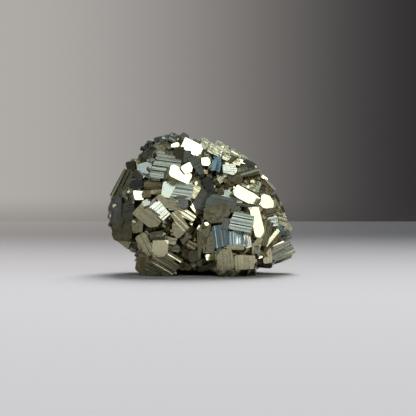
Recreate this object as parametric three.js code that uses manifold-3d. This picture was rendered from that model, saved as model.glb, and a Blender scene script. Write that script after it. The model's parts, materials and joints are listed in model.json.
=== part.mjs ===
// A pyrite specimen: one grown mass of intergrown cubic crystals with cut corners, their faces
// stepped by growth ledges. Everything is in millimetres, +X is the specimen's right, +Y its
// back and +Z up, and the origin is on the surface it stands on, under the middle of its outline.
import * as THREE from "three";
import { ConvexGeometry } from "three/addons/geometries/ConvexGeometry.js";
import { mergeVertices } from "three/addons/utils/BufferGeometryUtils.js";
import Module from "manifold-3d";

// The specimen is about 45 wide, 35 deep and 34 high.
// The front crystals are laid out as they appear from this point, straight in front of it.
const FRONT_POINT = new THREE.Vector3(1.64, -400, 22.6);

// A crystal's corner cuts run this share of their width into its body.
const CUT_DEPTH = 0.8;
// A corner cut takes at most this share of the smaller side.
const LARGEST_CUT = 0.48;
// A corner cut smaller than this is left sharp.
const SHARP_CUT = 0.55;
// A crystal reaches into the mass by this share of its larger side, and this much more.
const BODY_DEPTH = 1.05;
const ROOT_DEPTH = 1.6;

// The massive core, as ellipsoids: middle x, y, z and half sizes x, y, z.
const LOBES = [
  [-10.0, 1.0, 14.5, 12.5, 12.5, 10.6],
  [-3.0, 2.5, 21.0, 11.3, 12.0, 11.4],
  [8.0, 0.5, 11.2, 12.3, 13.0, 9.9],
  [6.0, 2.0, 19.0, 9.8, 10.5, 9.2],
  [-5.8, 4.0, 24.2, 8.6, 9.0, 8.7],
  [-10.2, -3.0, 5.6, 5.4, 9.0, 5.8],
  [7.6, -5.5, 5.4, 6.6, 9.2, 5.6],
  [-2.0, -1.5, 6.2, 5.8, 9.8, 5.8],
  [1.0, 6.0, 9.2, 12.5, 9.5, 7.6],
];

// Crystals that it stands on. Columns: x and y of the middle of the foot, its width and depth,
// and its turn seen from above.
const FEET = [
  [-10.4, -7.0, 7.4, 8.0, 12],
  [6.9, -7.6, 5.6, 5.8, -8],
  [1.2, 11.0, 8.4, 6.6, 20],
];
const FOOT_CUTS = [0.9, 1.3, 0.8, 1.1];
const FOOT_BELOW = 0.2;

// Crystals of the front, one a row. Columns: x and z where the middle of its outward face
// appears on the plane y = 0, from FRONT_POINT; how far it rises out of the core; the way the
// face looks, as degrees to the right and degrees up; its roll; its width along the growth
// lines and its height across them; and the cut of its corners, clockwise from the top left.
const UPPER_LEFT = [
  [-9.1, 26.0, 2.0, -5, 14, -6, 5.6, 6.2, [0.3, 1.2, 1.6, 0.6]],
  [-5.2, 23.8, 2.2, 25, 20, -28, 5.6, 2.4, [0.6, 0.5, 0.4, 0.7]],
  [-5.4, 20.6, 3.2, -5, 22, -10, 6.2, 3.6, [0.7, 0.6, 0.5, 0.9]],
  [-8.0, 20.6, 3.1, -15, 28, -10, 3.2, 5.2, [1.2, 0.3, 0.3, 1.1]],
  [-7.4, 18.7, 2.7, 0, 16, -20, 3.4, 1.8, [0.4, 0.3, 0.3, 0.6]],
  [-3.4, 25.5, 2.8, 20, 15, 25, 2.8, 2.0, [0.5, 0.2, 0.8, 0.4]],
  [-5.6, 28.2, 1.8, -5, 3, 5, 2.4, 4.0, [0.5, 0.3, 0.7, 0.6]],
  [-3.6, 28.2, 2.0, 5, 5, 0, 1.9, 3.0, [0.5, 0.4, 0.3, 0.4]],
  [-1.0, 26.2, 2.4, 5, 5, 30, 2.2, 4.8, [0.4, 0.6, 0.7, 0.3]],
  [-2.2, 30.6, 1.8, 24, 26, -33, 5.0, 3.6, [0.3, 0.7, 0.9, 0.5]],
  [1.1, 27.1, 1.8, 25, 22, 0, 2.3, 2.1, [0.3, 0.4, 0.6, 0.3]],
  [-16.4, 23.6, 3.2, -10, 30, 5, 1.6, 2.2, [0.3, 0.3, 0.3, 0.4]],
  [-17.2, 26.2, 1.6, -20, 5, 10, 2.4, 2.0, [0.5, 0.3, 0.4, 0.4]],
  [-13.7, 25.3, 2.2, -20, 28, 10, 3.2, 3.2, [0.7, 0.3, 0.4, 0.8]],
  [-13.0, 30.2, 1.0, -35, 10, 40, 3.0, 2.6, [0.4, 0.4, 0.4, 0.4]],
  [-9.6, 32.2, 1.0, -15, 8, 15, 3.2, 2.4, [0.5, 0.4, 0.4, 0.3]],
  [-6.2, 32.6, 1.6, 10, 6, -20, 2.8, 2.4, [0.4, 0.4, 0.5, 0.4]],
];
const UPPER_RIGHT = [
  [1.9, 31.3, 1.6, 30, 42, -37, 5.8, 5.0, [0.5, 0.6, 0.5, 0.6]],
  [5.6, 29.6, 1.9, 34, 40, -40, 5.8, 5.2, [0.6, 0.5, 0.8, 0.4]],
  [9.3, 27.7, 2.1, 38, 42, -44, 5.6, 5.0, [0.5, 0.5, 0.8, 0.6]],
  [6.8, 25.3, 2.2, 15, 18, -5, 3.2, 2.7, [0.4, 0.3, 0.5, 0.4]],
  [11.8, 26.2, 2.0, 10, 8, -20, 2.6, 2.2, [0.6, 0.4, 0.5, 0.3]],
  [10.2, 24.0, 2.4, -5, 10, 17, 7.6, 1.7, [0.3, 0.4, 0.3, 0.4]],
  [7.8, 22.5, 1.2, 0, -10, 15, 4.0, 2.0, [0.4, 0.3, 0.3, 0.3]],
  [12.2, 21.6, 1.8, 10, 35, -35, 4.4, 3.4, [0.5, 0.4, 0.6, 0.5]],
  [16.2, 22.3, 1.3, 30, 10, -42, 5.4, 0.9, [0.1, 0.2, 0.2, 0.1]],
  [15.8, 20.8, 1.3, 5, -8, -42, 4.0, 2.6, [0.3, 0.5, 0.6, 0.4]],
  [10.6, 18.8, 3.0, 25, 22, -38, 6.6, 3.5, [0.3, 0.2, 0.7, 0.8]],
  [16.0, 17.3, 1.8, 38, 15, -15, 3.9, 3.5, [0.8, 1.2, 1.0, 0.5]],
  [3.0, 26.2, 2.3, -10, 25, -5, 1.3, 2.8, [0.2, 0.3, 0.2, 0.3]],
  [4.2, 25.8, 2.4, -20, 22, 8, 1.3, 2.8, [0.3, 0.2, 0.3, 0.3]],
  [3.9, 28.0, 1.8, -5, 18, 12, 1.7, 1.8, [0.4, 0.3, 0.4, 0.3]],
  [7.0, 18.9, 2.3, 0, 28, -25, 4.6, 2.1, [0.2, 0.4, 0.5, 0.3]],
  [10.6, 16.5, 2.3, -5, 5, -8, 3.8, 1.1, [0.2, 0.2, 0.2, 0.2]],
  [8.0, 15.3, 2.4, 10, 10, 0, 1.7, 1.3, [0.4, 0.4, 0.4, 0.4]],
];
const MIDDLE = [
  [4.6, 17.0, 2.0, 0, 12, 4, 6.4, 2.8, [0.9, 0.9, 0.4, 0.5]],
  [3.8, 14.1, 2.6, -5, -8, 3, 6.2, 3.8, [0.3, 0.3, 1.6, 1.2]],
  [0.4, 17.8, 1.6, 10, 6, -25, 3.6, 5.0, [0.6, 0.4, 0.9, 0.5]],
  [2.0, 21.0, 1.6, -4, 4, 25, 2.3, 4.8, [0.5, 0.4, 0.6, 0.3]],
  [-1.6, 19.8, 2.6, 20, 10, -30, 2.0, 3.3, [0.4, 0.2, 0.4, 0.3]],
  [-3.8, 14.4, 3.0, 20, 16, -35, 3.2, 1.7, [0.3, 0.3, 0.4, 0.3]],
  [-1.9, 15.7, 2.4, 25, 10, -62, 4.2, 0.9, [0.2, 0.2, 0.2, 0.2]],
  [-4.6, 17.6, 3.0, 5, 0, 0, 2.8, 3.0, [0.6, 0.5, 0.6, 0.5]],
  [-6.9, 16.4, 2.8, 0, -10, 3, 2.4, 2.3, [0.4, 0.3, 0.3, 0.4]],
  [-0.4, 11.0, 1.8, 25, 20, 55, 1.4, 1.0, [0.2, 0.2, 0.2, 0.2]],
  [1.2, 12.2, 2.2, 20, 22, 15, 1.0, 0.9, [0.2, 0.2, 0.2, 0.2]],
];
const LEFT = [
  [-19.3, 21.3, 2.6, -32, 8, 63, 8.2, 3.8, [0.4, 0.7, 0.5, 0.4]],
  [-20.6, 15.6, 1.8, -38, 2, 82, 6.2, 3.6, [0.7, 0.6, 0.5, 0.7]],
  [-15.8, 21.4, 2.0, -15, 5, 10, 3.5, 2.7, [0.9, 0.4, 0.3, 0.5]],
  [-15.2, 18.9, 2.6, 20, 20, -3, 2.5, 2.3, [0.2, 0.3, 0.3, 0.5]],
  [-11.7, 21.3, 2.2, 0, -12, 8, 4.2, 1.7, [0.3, 0.3, 0.3, 0.4]],
  [-13.2, 19.2, 2.2, -5, -6, 0, 1.9, 1.7, [0.3, 0.2, 0.3, 0.2]],
  [-11.0, 19.6, 2.4, 5, -15, 5, 2.6, 1.2, [0.2, 0.2, 0.3, 0.3]],
  [-9.2, 17.5, 2.8, 5, -14, -38, 3.8, 1.9, [0.3, 0.4, 0.4, 0.3]],
  [-13.4, 17.1, 4.5, 0, 28, 15, 1.6, 1.7, [0.4, 0.2, 0.5, 0.3]],
  [-10.5, 16.2, 3.6, 20, 22, 38, 2.8, 4.1, [0.3, 0.2, 0.2, 0.3]],
  [-9.0, 14.3, 3.3, 10, 3, 38, 2.7, 2.0, [0.2, 0.3, 0.3, 0.2]],
  [-12.9, 13.9, 3.2, -5, -14, -38, 6.6, 4.0, [1.2, 0.7, 1.4, 1.1]],
  [-15.5, 11.7, 2.4, -18, -12, -3, 2.9, 3.4, [0.8, 0.5, 0.4, 0.3]],
  [-17.5, 15.0, 2.6, -30, 3, 8, 3.0, 4.4, [0.5, 0.6, 0.7, 0.8]],
  [-20.4, 12.0, 2.2, -44, -12, -10, 3.8, 5.0, [0.7, 0.4, 0.5, 0.9]],
  [-18.6, 8.9, 1.2, -42, -28, -40, 5.2, 3.8, [0.6, 0.5, 0.7, 0.6]],
];
const LOWER_LEFT = [
  [-16.6, 7.2, 1.6, -35, -25, -40, 3.4, 3.4, [0.5, 0.5, 0.6, 0.5]],
  [-13.6, 6.9, 2.8, -12, -16, -63, 5.6, 2.9, [0.5, 0.4, 0.6, 0.5]],
  [-10.0, 6.0, 3.8, 3, -16, -3, 3.8, 4.0, [0.7, 0.9, 1.1, 1.2]],
  [-11.8, 5.6, 4.0, -25, -8, -68, 3.6, 1.1, [0.2, 0.2, 0.2, 0.2]],
  [-14.3, 2.6, 3.4, -30, 2, -12, 3.4, 4.4, [0.6, 0.5, 0.6, 0.5]],
  [-11.4, 1.5, 2.6, -8, -14, -20, 4.2, 3.2, [0.5, 0.6, 0.6, 0.5]],
  [-8.8, 2.4, 3.6, 3, 3, -31, 6.6, 3.8, [0.3, 0.5, 0.5, 0.4]],
  [-6.5, 3.7, 3.9, 5, -14, -32, 3.8, 1.3, [0.2, 0.3, 0.2, 0.2]],
  [-11.0, 9.2, 2.6, 0, 3, 0, 3.2, 2.0, [0.3, 0.3, 0.3, 0.4]],
  [-7.6, 7.9, 3.0, 5, -14, -8, 3.0, 1.8, [0.4, 0.3, 0.4, 0.3]],
  [-6.6, 6.2, 1.8, 0, -5, -15, 2.8, 2.0, [0.4, 0.3, 0.3, 0.3]],
  [-5.2, 12.8, 3.5, 5, -12, -45, 5.4, 3.1, [0.3, 0.3, 0.4, 0.5]],
  [-5.5, 10.6, 3.1, 3, -15, 0, 3.0, 4.2, [0.6, 0.3, 1.4, 1.1]],
  [-3.4, 9.8, 1.4, -5, -2, 52, 4.2, 1.6, [0.3, 0.2, 0.3, 0.3]],
  [-3.6, 8.3, 1.2, -5, -8, 20, 2.9, 1.0, [0.2, 0.2, 0.2, 0.2]],
  [-1.8, 2.2, 2.0, 5, 10, 10, 1.4, 1.3, [0.3, 0.3, 0.3, 0.3]],
  [-4.0, 1.7, 2.4, 0, -10, 0, 3.2, 2.0, [0.4, 0.3, 0.4, 0.3]],
];
const LOWER_RIGHT = [
  [13.6, 12.4, 2.7, 31, 8, 93, 7.3, 3.2, [1.1, 1.0, 0.9, 1.2]],
  [9.9, 12.7, 3.2, -6, 21, -12, 5.4, 5.2, [0.6, 0.3, 0.3, 0.5]],
  [9.0, 8.4, 3.2, 5, 19, 90, 3.8, 4.3, [0.3, 0.4, 0.3, 0.3]],
  [11.3, 7.9, 3.8, 32, 6, 98, 3.5, 1.9, [0.4, 0.5, 0.5, 0.4]],
  [8.3, 6.3, 3.4, 0, -16, 0, 4.2, 1.1, [0.3, 0.3, 0.3, 0.4]],
  [4.7, 9.0, 2.8, -12, 13, 100, 5.4, 3.8, [0.5, 0.6, 1.2, 0.9]],
  [1.9, 8.2, 2.4, -14, 2, 84, 6.4, 3.4, [0.6, 0.6, 0.7, 0.7]],
  [5.9, 3.3, 3.2, -5, -15, 95, 5.1, 4.1, [0.7, 0.5, 0.6, 1.0]],
  [10.6, 2.7, 3.2, 8, -17, 93, 3.5, 4.9, [0.4, 0.5, 0.9, 0.5]],
  [6.4, 0.8, 3.4, -5, -38, 45, 5.4, 5.0, [0.6, 0.6, 0.6, 0.6]],
  [16.1, 4.3, 3.4, 15, -13, 95, 3.8, 2.3, [0.4, 0.5, 0.5, 0.4]],
  [19.5, 5.7, 2.4, 8, 9, 25, 5.9, 3.9, [0.3, 0.4, 0.7, 0.6]],
  [19.8, 8.5, 2.2, 4, 4, 25, 5.2, 2.4, [0.5, 0.6, 0.3, 0.3]],
  [19.8, 3.3, 1.8, 20, -42, 20, 4.6, 1.6, [0.3, 0.4, 0.4, 0.5]],
  [18.4, 10.3, 2.4, -6, 6, 42, 3.2, 2.6, [0.5, 0.4, 0.4, 0.5]],
  [17.6, 8.9, 2.9, 20, 18, 47, 4.8, 0.8, [0.1, 0.1, 0.1, 0.1]],
  [17.4, 12.6, 2.9, 14, 12, 10, 2.6, 2.4, [0.5, 0.4, 0.4, 0.3]],
  [19.6, 12.6, 2.6, 15, 12, -15, 2.5, 2.2, [0.4, 0.5, 0.3, 0.4]],
  [20.9, 11.0, 2.6, 20, 8, 30, 2.4, 2.0, [0.5, 0.5, 0.4, 0.3]],
  [16.7, 14.9, 1.8, 5, 2, 15, 3.2, 2.0, [0.3, 0.4, 0.3, 0.3]],
  [15.7, 9.8, 2.6, 12, 3, 73, 6.0, 2.4, [0.3, 0.3, 0.3, 0.3]],
  [13.9, 7.4, 2.6, 15, -8, 60, 2.6, 2.0, [0.3, 0.3, 0.3, 0.3]],
  [14.2, 4.2, 3.9, 20, 18, 15, 1.2, 1.2, [0.2, 0.2, 0.2, 0.2]],
  [13.3, 5.6, 3.4, -10, 20, -15, 1.3, 1.6, [0.2, 0.3, 0.2, 0.2]],
  [14.0, 2.9, 3.8, -15, 15, 20, 1.4, 1.4, [0.3, 0.2, 0.2, 0.3]],
  [12.6, 5.9, 3.2, 5, -12, 100, 2.8, 0.7, [0.1, 0.1, 0.1, 0.1]],
  [15.4, 1.9, 3.0, 5, -32, 0, 3.8, 1.8, [0.3, 0.4, 0.5, 0.3]],
  [2.3, 3.9, 1.8, 20, 20, 5, 2.3, 1.6, [0.3, 0.3, 0.2, 0.3]],
  [0.6, 1.4, 3.2, -5, -12, 0, 3.4, 2.0, [0.4, 0.3, 0.4, 0.3]],
  [-0.3, 6.6, 1.6, -8, 0, 86, 6.6, 1.7, [0.4, 0.3, 0.4, 0.3]],
  [0.8, 10.6, 1.6, -5, -5, 70, 3.6, 2.6, [0.7, 0.5, 0.6, 0.5]],
  [-1.7, 4.2, 1.4, -10, 12, 15, 2.8, 2.8, [0.5, 0.6, 0.4, 0.5]],
  [-2.3, 6.8, 1.2, 5, -8, -30, 2.4, 1.8, [0.4, 0.3, 0.4, 0.3]],
  [-0.4, 2.7, 2.6, 10, -5, 80, 2.0, 1.3, [0.3, 0.3, 0.3, 0.3]],
  [3.2, 1.7, 2.6, -20, -25, 12, 3.2, 2.4, [0.5, 0.4, 0.5, 0.4]],
];
const FRONT = [...UPPER_LEFT, ...UPPER_RIGHT, ...MIDDLE, ...LEFT, ...LOWER_LEFT, ...LOWER_RIGHT];

// Crystals over the rest of the mass, spread evenly round its middle: how many, their least
// width and how much it varies, the shares of width that their height and cuts take, how far
// they lean off straight out, and how far they rise.
const REST_COUNT = 84;
const REST_MIDDLE = new THREE.Vector3(0, 1, 13);
const REST_FRONT_LIMIT = -2.5;
const REST_WIDTH = [4.4, 3.6];
const REST_HEIGHT_SHARE = [0.6, 0.4];
const REST_CUT_SHARE = 0.26;
const REST_LEAN = 44;
const REST_RISE = 0.9;
// None of them stands on the smooth left flank, an ellipsoid by its middle and half sizes.
const FLANK_MIDDLE = new THREE.Vector3(-20, -3, 12);
const FLANK_SIZE = new THREE.Vector3(6, 13, 11);
const GOLDEN_ANGLE = Math.PI * (3 - Math.sqrt(5));

// Small crystals in the gaps between the large ones.
const SMALL_COUNT = 20;
const SMALL_WIDTH = [1.8, 1.4];
const SMALL_HEIGHT_SHARE = 0.8;
const SMALL_LEAN = 100;
const SMALL_RISE = [0.5, 0.8];

const BRASS_YELLOW = 0xb5a46a;

const wasm = await Module();
wasm.setup();

// A number from 0 to 1 that is the same each time for the same two whole numbers.
function chance(index, salt) {
  const wave = Math.sin(index * 12.9898 + salt * 78.233) * 43758.5453;
  return wave - Math.floor(wave);
}

// A closed three.js geometry as a manifold solid.
function solidOf(geometry) {
  const bare = new THREE.BufferGeometry();
  const flat = geometry.index ? geometry.toNonIndexed() : geometry;
  bare.setAttribute("position", flat.getAttribute("position"));
  const merged = mergeVertices(bare, 1e-4);
  const vertProperties = new Float32Array(merged.attributes.position.array);
  const triVerts = new Uint32Array(merged.index.array);
  return new wasm.Manifold(new wasm.Mesh({ numProp: 3, vertProperties, triVerts }));
}

// A manifold solid as a three.js geometry.
function geometryOf(solid) {
  const mesh = solid.getMesh();
  const geometry = new THREE.BufferGeometry();
  geometry.setAttribute("position", new THREE.BufferAttribute(mesh.vertProperties, 3));
  geometry.setIndex(new THREE.BufferAttribute(mesh.triVerts, 1));
  return geometry;
}

// How deep the front of the core is at x, z.
function frontOfCore(x, z) {
  let nearest = Infinity;
  let closest = -Infinity;
  let edge = 0;
  for (const [cx, cy, cz, rx, ry, rz] of LOBES) {
    const share = 1 - ((x - cx) / rx) ** 2 - ((z - cz) / rz) ** 2;
    if (share > 0) nearest = Math.min(nearest, cy - ry * Math.sqrt(share));
    if (share > closest) {
      closest = share;
      edge = cy;
    }
  }
  return Math.min(nearest, edge);
}

// The furthest point of the core from REST_MIDDLE along a direction.
function skinOfCore(way) {
  let reach = 0;
  for (const [cx, cy, cz, rx, ry, rz] of LOBES) {
    const scale = new THREE.Vector3(1 / rx, 1 / ry, 1 / rz);
    const start = REST_MIDDLE.clone().sub(new THREE.Vector3(cx, cy, cz)).multiply(scale);
    const run = way.clone().multiply(scale);
    const a = run.lengthSq();
    const b = start.dot(run);
    const root = b * b - a * (start.lengthSq() - 1);
    if (root > 0) reach = Math.max(reach, (Math.sqrt(root) - b) / a);
  }
  return REST_MIDDLE.clone().addScaledVector(way, reach);
}

// A placing matrix: the crystal's outward face looks right degrees to the right of the front
// and up degrees above the level, and is then turned by roll.
function placing(point, right, up, roll) {
  const [a, e, r] = [right, up, roll].map(THREE.MathUtils.degToRad);
  const out = new THREE.Vector3(Math.sin(a) * Math.cos(e), -Math.cos(a) * Math.cos(e), Math.sin(e));
  const high = new THREE.Vector3(-Math.sin(a) * Math.sin(e), Math.cos(a) * Math.sin(e), Math.cos(e));
  const wide = high.clone().cross(out);
  const u = wide.clone().multiplyScalar(Math.cos(r)).addScaledVector(high, Math.sin(r));
  const v = wide.clone().multiplyScalar(-Math.sin(r)).addScaledVector(high, Math.cos(r));
  return new THREE.Matrix4().makeBasis(u, v, out).setPosition(point);
}

// One crystal: a block whose outward face lies on its own z = 0, with cut corners.
function crystal(matrix, width, height, cuts) {
  const depth = Math.max(width, height) * BODY_DEPTH + ROOT_DEPTH;
  const corners = [[-1, 1], [1, 1], [1, -1], [-1, -1]];
  const points = corners.flatMap(([side, top], i) => {
    const x = (side * width) / 2;
    const y = (top * height) / 2;
    const c = Math.min(cuts[i], LARGEST_CUT * Math.min(width, height));
    if (c < SHARP_CUT) return [new THREE.Vector3(x, y, 0), new THREE.Vector3(x, y, -depth)];
    return [
      new THREE.Vector3(x - side * c, y, 0),
      new THREE.Vector3(x, y - top * c, 0),
      new THREE.Vector3(x, y, -c * CUT_DEPTH),
      new THREE.Vector3(x, y, -depth),
    ];
  });
  return solidOf(new ConvexGeometry(points).applyMatrix4(matrix));
}

function frontCrystals() {
  return FRONT.map(([x, z, rise, right, up, roll, width, height, cuts]) => {
    const y = frontOfCore(x, z) - rise;
    const seen = new THREE.Vector3(x, 0, z).sub(FRONT_POINT);
    const point = FRONT_POINT.clone().addScaledVector(seen, 1 + y / -FRONT_POINT.y);
    return crystal(placing(point, right, up, roll), width, height, cuts);
  });
}

// The way from REST_MIDDLE of each of count evenly spread points.
function spreadWay(index, count) {
  const height = 1 - (2 * index + 1) / count;
  const round = Math.sqrt(1 - height * height);
  const angle = index * GOLDEN_ANGLE;
  return new THREE.Vector3(round * Math.cos(angle), round * Math.sin(angle), height);
}

function facingOf(way) {
  const right = THREE.MathUtils.radToDeg(Math.atan2(way.x, -way.y));
  const up = THREE.MathUtils.radToDeg(Math.asin(way.z));
  return [right, up];
}

function onSmoothFlank(point) {
  return point.clone().sub(FLANK_MIDDLE).divide(FLANK_SIZE).length() < 1;
}

function restCrystals() {
  const made = [];
  for (let i = 0; i < REST_COUNT; i++) {
    const way = spreadWay(i, REST_COUNT);
    const point = skinOfCore(way);
    if (point.y < REST_FRONT_LIMIT || onSmoothFlank(point)) continue;
    const [right, up] = facingOf(way);
    const width = REST_WIDTH[0] + REST_WIDTH[1] * chance(i, 1);
    const height = width * (REST_HEIGHT_SHARE[0] + REST_HEIGHT_SHARE[1] * chance(i, 2));
    const rightLean = REST_LEAN * (chance(i, 3) - 0.5);
    const upLean = REST_LEAN * (chance(i, 4) - 0.5);
    const cuts = [5, 6, 7, 8].map((salt) => width * REST_CUT_SHARE * chance(i, salt));
    point.addScaledVector(way, REST_RISE * chance(i, 9));
    const matrix = placing(point, right + rightLean, up + upLean, 360 * chance(i, 10));
    made.push(crystal(matrix, width, height, cuts));
  }
  return made;
}

function smallCrystals() {
  const made = [];
  for (let i = 0; i < SMALL_COUNT; i++) {
    const way = spreadWay(i, SMALL_COUNT);
    const point = skinOfCore(way);
    const [right, up] = facingOf(way);
    const width = SMALL_WIDTH[0] + SMALL_WIDTH[1] * chance(i, 21);
    point.addScaledVector(way, SMALL_RISE[0] + SMALL_RISE[1] * chance(i, 22));
    const rightLean = SMALL_LEAN * (chance(i, 23) - 0.5);
    const upLean = SMALL_LEAN * (chance(i, 24) - 0.5);
    const matrix = placing(point, right + rightLean, up + upLean, 360 * chance(i, 25));
    made.push(crystal(matrix, width, width * SMALL_HEIGHT_SHARE, [0, 0, 0, 0]));
  }
  return made;
}

// The feet look straight down and reach just under the surface, which cuts them flat.
function footCrystals() {
  return FEET.map(([x, y, width, depth, turn]) => {
    const point = new THREE.Vector3(x, y, -FOOT_BELOW);
    return crystal(placing(point, 0, -90, turn), width, depth, FOOT_CUTS);
  });
}

function coreLobe([cx, cy, cz, rx, ry, rz]) {
  const ball = new THREE.IcosahedronGeometry(1, 1);
  return solidOf(ball.scale(rx, ry, rz).translate(cx, cy, cz));
}

// The block below the surface that the specimen stands on.
function underground() {
  return solidOf(new THREE.BoxGeometry(100, 100, 20).translate(0, 0, -10));
}

function wholeMass() {
  const grown = [
    ...LOBES.map(coreLobe),
    ...frontCrystals(),
    ...footCrystals(),
    ...restCrystals(),
    ...smallCrystals(),
  ];
  const joined = wasm.Manifold.union(grown).subtract(underground());
  const bodies = joined.decompose();
  bodies.sort((a, b) => b.volume() - a.volume());
  return bodies[0];
}

const mass = wholeMass();
const brassy = new THREE.MeshStandardMaterial({
  color: BRASS_YELLOW,
  metalness: 0.9,
  roughness: 0.3,
});
const specimen = new THREE.Mesh(geometryOf(mass), brassy);
specimen.name = "pyrite_cluster";

const group = new THREE.Group();
group.add(specimen);
export default group;
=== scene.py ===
"""A pyrite specimen: intergrown cubic crystals with cut corners and growth ledges, fused as one mass."""

import json
import logging
import math
from collections.abc import Sequence
from dataclasses import dataclass, field
from enum import Enum

import bmesh
import bpy
from mathutils import Matrix, Vector, noise

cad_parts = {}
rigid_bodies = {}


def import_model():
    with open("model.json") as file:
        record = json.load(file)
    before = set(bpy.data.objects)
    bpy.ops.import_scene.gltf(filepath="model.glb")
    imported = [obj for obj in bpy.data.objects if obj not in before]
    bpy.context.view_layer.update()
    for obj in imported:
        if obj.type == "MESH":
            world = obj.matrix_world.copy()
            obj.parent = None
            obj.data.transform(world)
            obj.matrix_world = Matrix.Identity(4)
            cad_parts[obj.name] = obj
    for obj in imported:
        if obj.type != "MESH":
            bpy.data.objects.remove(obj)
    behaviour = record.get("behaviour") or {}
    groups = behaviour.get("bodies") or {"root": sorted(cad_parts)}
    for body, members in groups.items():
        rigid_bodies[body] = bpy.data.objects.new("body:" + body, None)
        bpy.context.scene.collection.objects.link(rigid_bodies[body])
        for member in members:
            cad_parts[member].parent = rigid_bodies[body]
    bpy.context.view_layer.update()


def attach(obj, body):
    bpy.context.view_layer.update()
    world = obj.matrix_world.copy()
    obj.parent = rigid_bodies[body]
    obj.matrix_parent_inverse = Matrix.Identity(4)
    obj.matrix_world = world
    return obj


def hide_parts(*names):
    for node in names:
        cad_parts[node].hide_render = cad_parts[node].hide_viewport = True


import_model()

MM = 0.001
FULL_TURN = 360
GOLDEN_ANGLE = math.pi * (3 - math.sqrt(5))

# What turns a crystal's number and a salt into a number that looks random.
INDEX_TURN = 12.9898
SALT_TURN = 78.233
WAVE_HEIGHT = 43758.5453

# The front crystals are laid out as they appear from this point, straight in front of the mass.
FRONT_POINT = Vector((1.64, -400.0, 22.6))

# The massive core, as ellipsoids: middle x, y, z and half sizes x, y, z.
LOBES = (
    (-10.0, 1.0, 14.5, 12.5, 12.5, 10.6),
    (-3.0, 2.5, 21.0, 11.3, 12.0, 11.4),
    (8.0, 0.5, 11.2, 12.3, 13.0, 9.9),
    (6.0, 2.0, 19.0, 9.8, 10.5, 9.2),
    (-5.8, 4.0, 24.2, 8.6, 9.0, 8.7),
    (-10.2, -3.0, 5.6, 5.4, 9.0, 5.8),
    (7.6, -5.5, 5.4, 6.6, 9.2, 5.6),
    (-2.0, -1.5, 6.2, 5.8, 9.8, 5.8),
    (1.0, 6.0, 9.2, 12.5, 9.5, 7.6),
)

# Crystals that it stands on: middle x and y of the foot, its width and depth, and its turn.
FEET = (
    (-10.4, -7.0, 7.4, 8.0, 12),
    (6.9, -7.6, 5.6, 5.8, -8),
    (1.2, 11.0, 8.4, 6.6, 20),
)

# An ellipsoid's middle and half sizes, in mm.
Zone = tuple[tuple[float, float, float], tuple[float, float, float]]


class Ledges(Enum):
    """How a crystal's outward face is stepped.

    Least and greatest tread width, least and greatest riser width, greatest step, all in mm; how
    strong the growth lines on it are, in its bumps and in the painted shade and highlight of its
    colour; and how grainy it is, both from 0 to 1.
    """

    PLAIN = (0.0, 0.0, 0.0, 0.0, 0.0, 0.15, 0.1)
    FINE = (0.18, 0.55, 0.05, 0.14, 0.07, 0.4, 0.2)
    BANDED = (0.25, 0.95, 0.12, 0.42, 0.34, 0.75, 0.1)
    GROOVED = (0.25, 0.8, 0.14, 0.38, 0.4, 1.0, 0.0)
    STEPPED = (0.7, 1.6, 0.2, 0.5, 0.5, 0.5, 0.2)
    ROUGH = (0.3, 0.8, 0.1, 0.5, 0.25, 0.3, 1.0)
    WORN = (0.0, 0.0, 0.0, 0.0, 0.0, 0.3, 0.9)


class Tone(Enum):
    """A crystal's tarnish and painted shading: brightness, blue film and brown film, each 0 to 1.

    The brightness is partly tarnish and partly painted light: brighter and darker copies of one
    brass, given to a crystal for how its face catches the light.
    """

    BRIGHT = (1.0, 0.1, 0.0)
    PALE = (0.82, 0.05, 0.0)
    SILVER = (0.9, 0.6, 0.0)
    NAVY = (0.03, 0.3, 0.0)
    KHAKI = (0.66, 0.0, 0.0)
    MOSS = (0.5, 0.0, 0.0)
    OLIVE = (0.28, 0.0, 0.12)
    UMBER = (0.16, 0.0, 0.35)
    SLATE = (0.24, 0.4, 0.0)
    BLUE = (0.85, 0.6, 0.0)
    BROWN = (0.4, 0.0, 0.6)
    INDIGO = (0.5, 1.0, 0.0)
    AZURE = (0.6, 0.85, 0.0)
    STEEL = (0.7, 0.45, 0.0)
    PEWTER = (0.66, 0.64, 0.0)


P, F, B, G, S, R, W = Ledges
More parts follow.
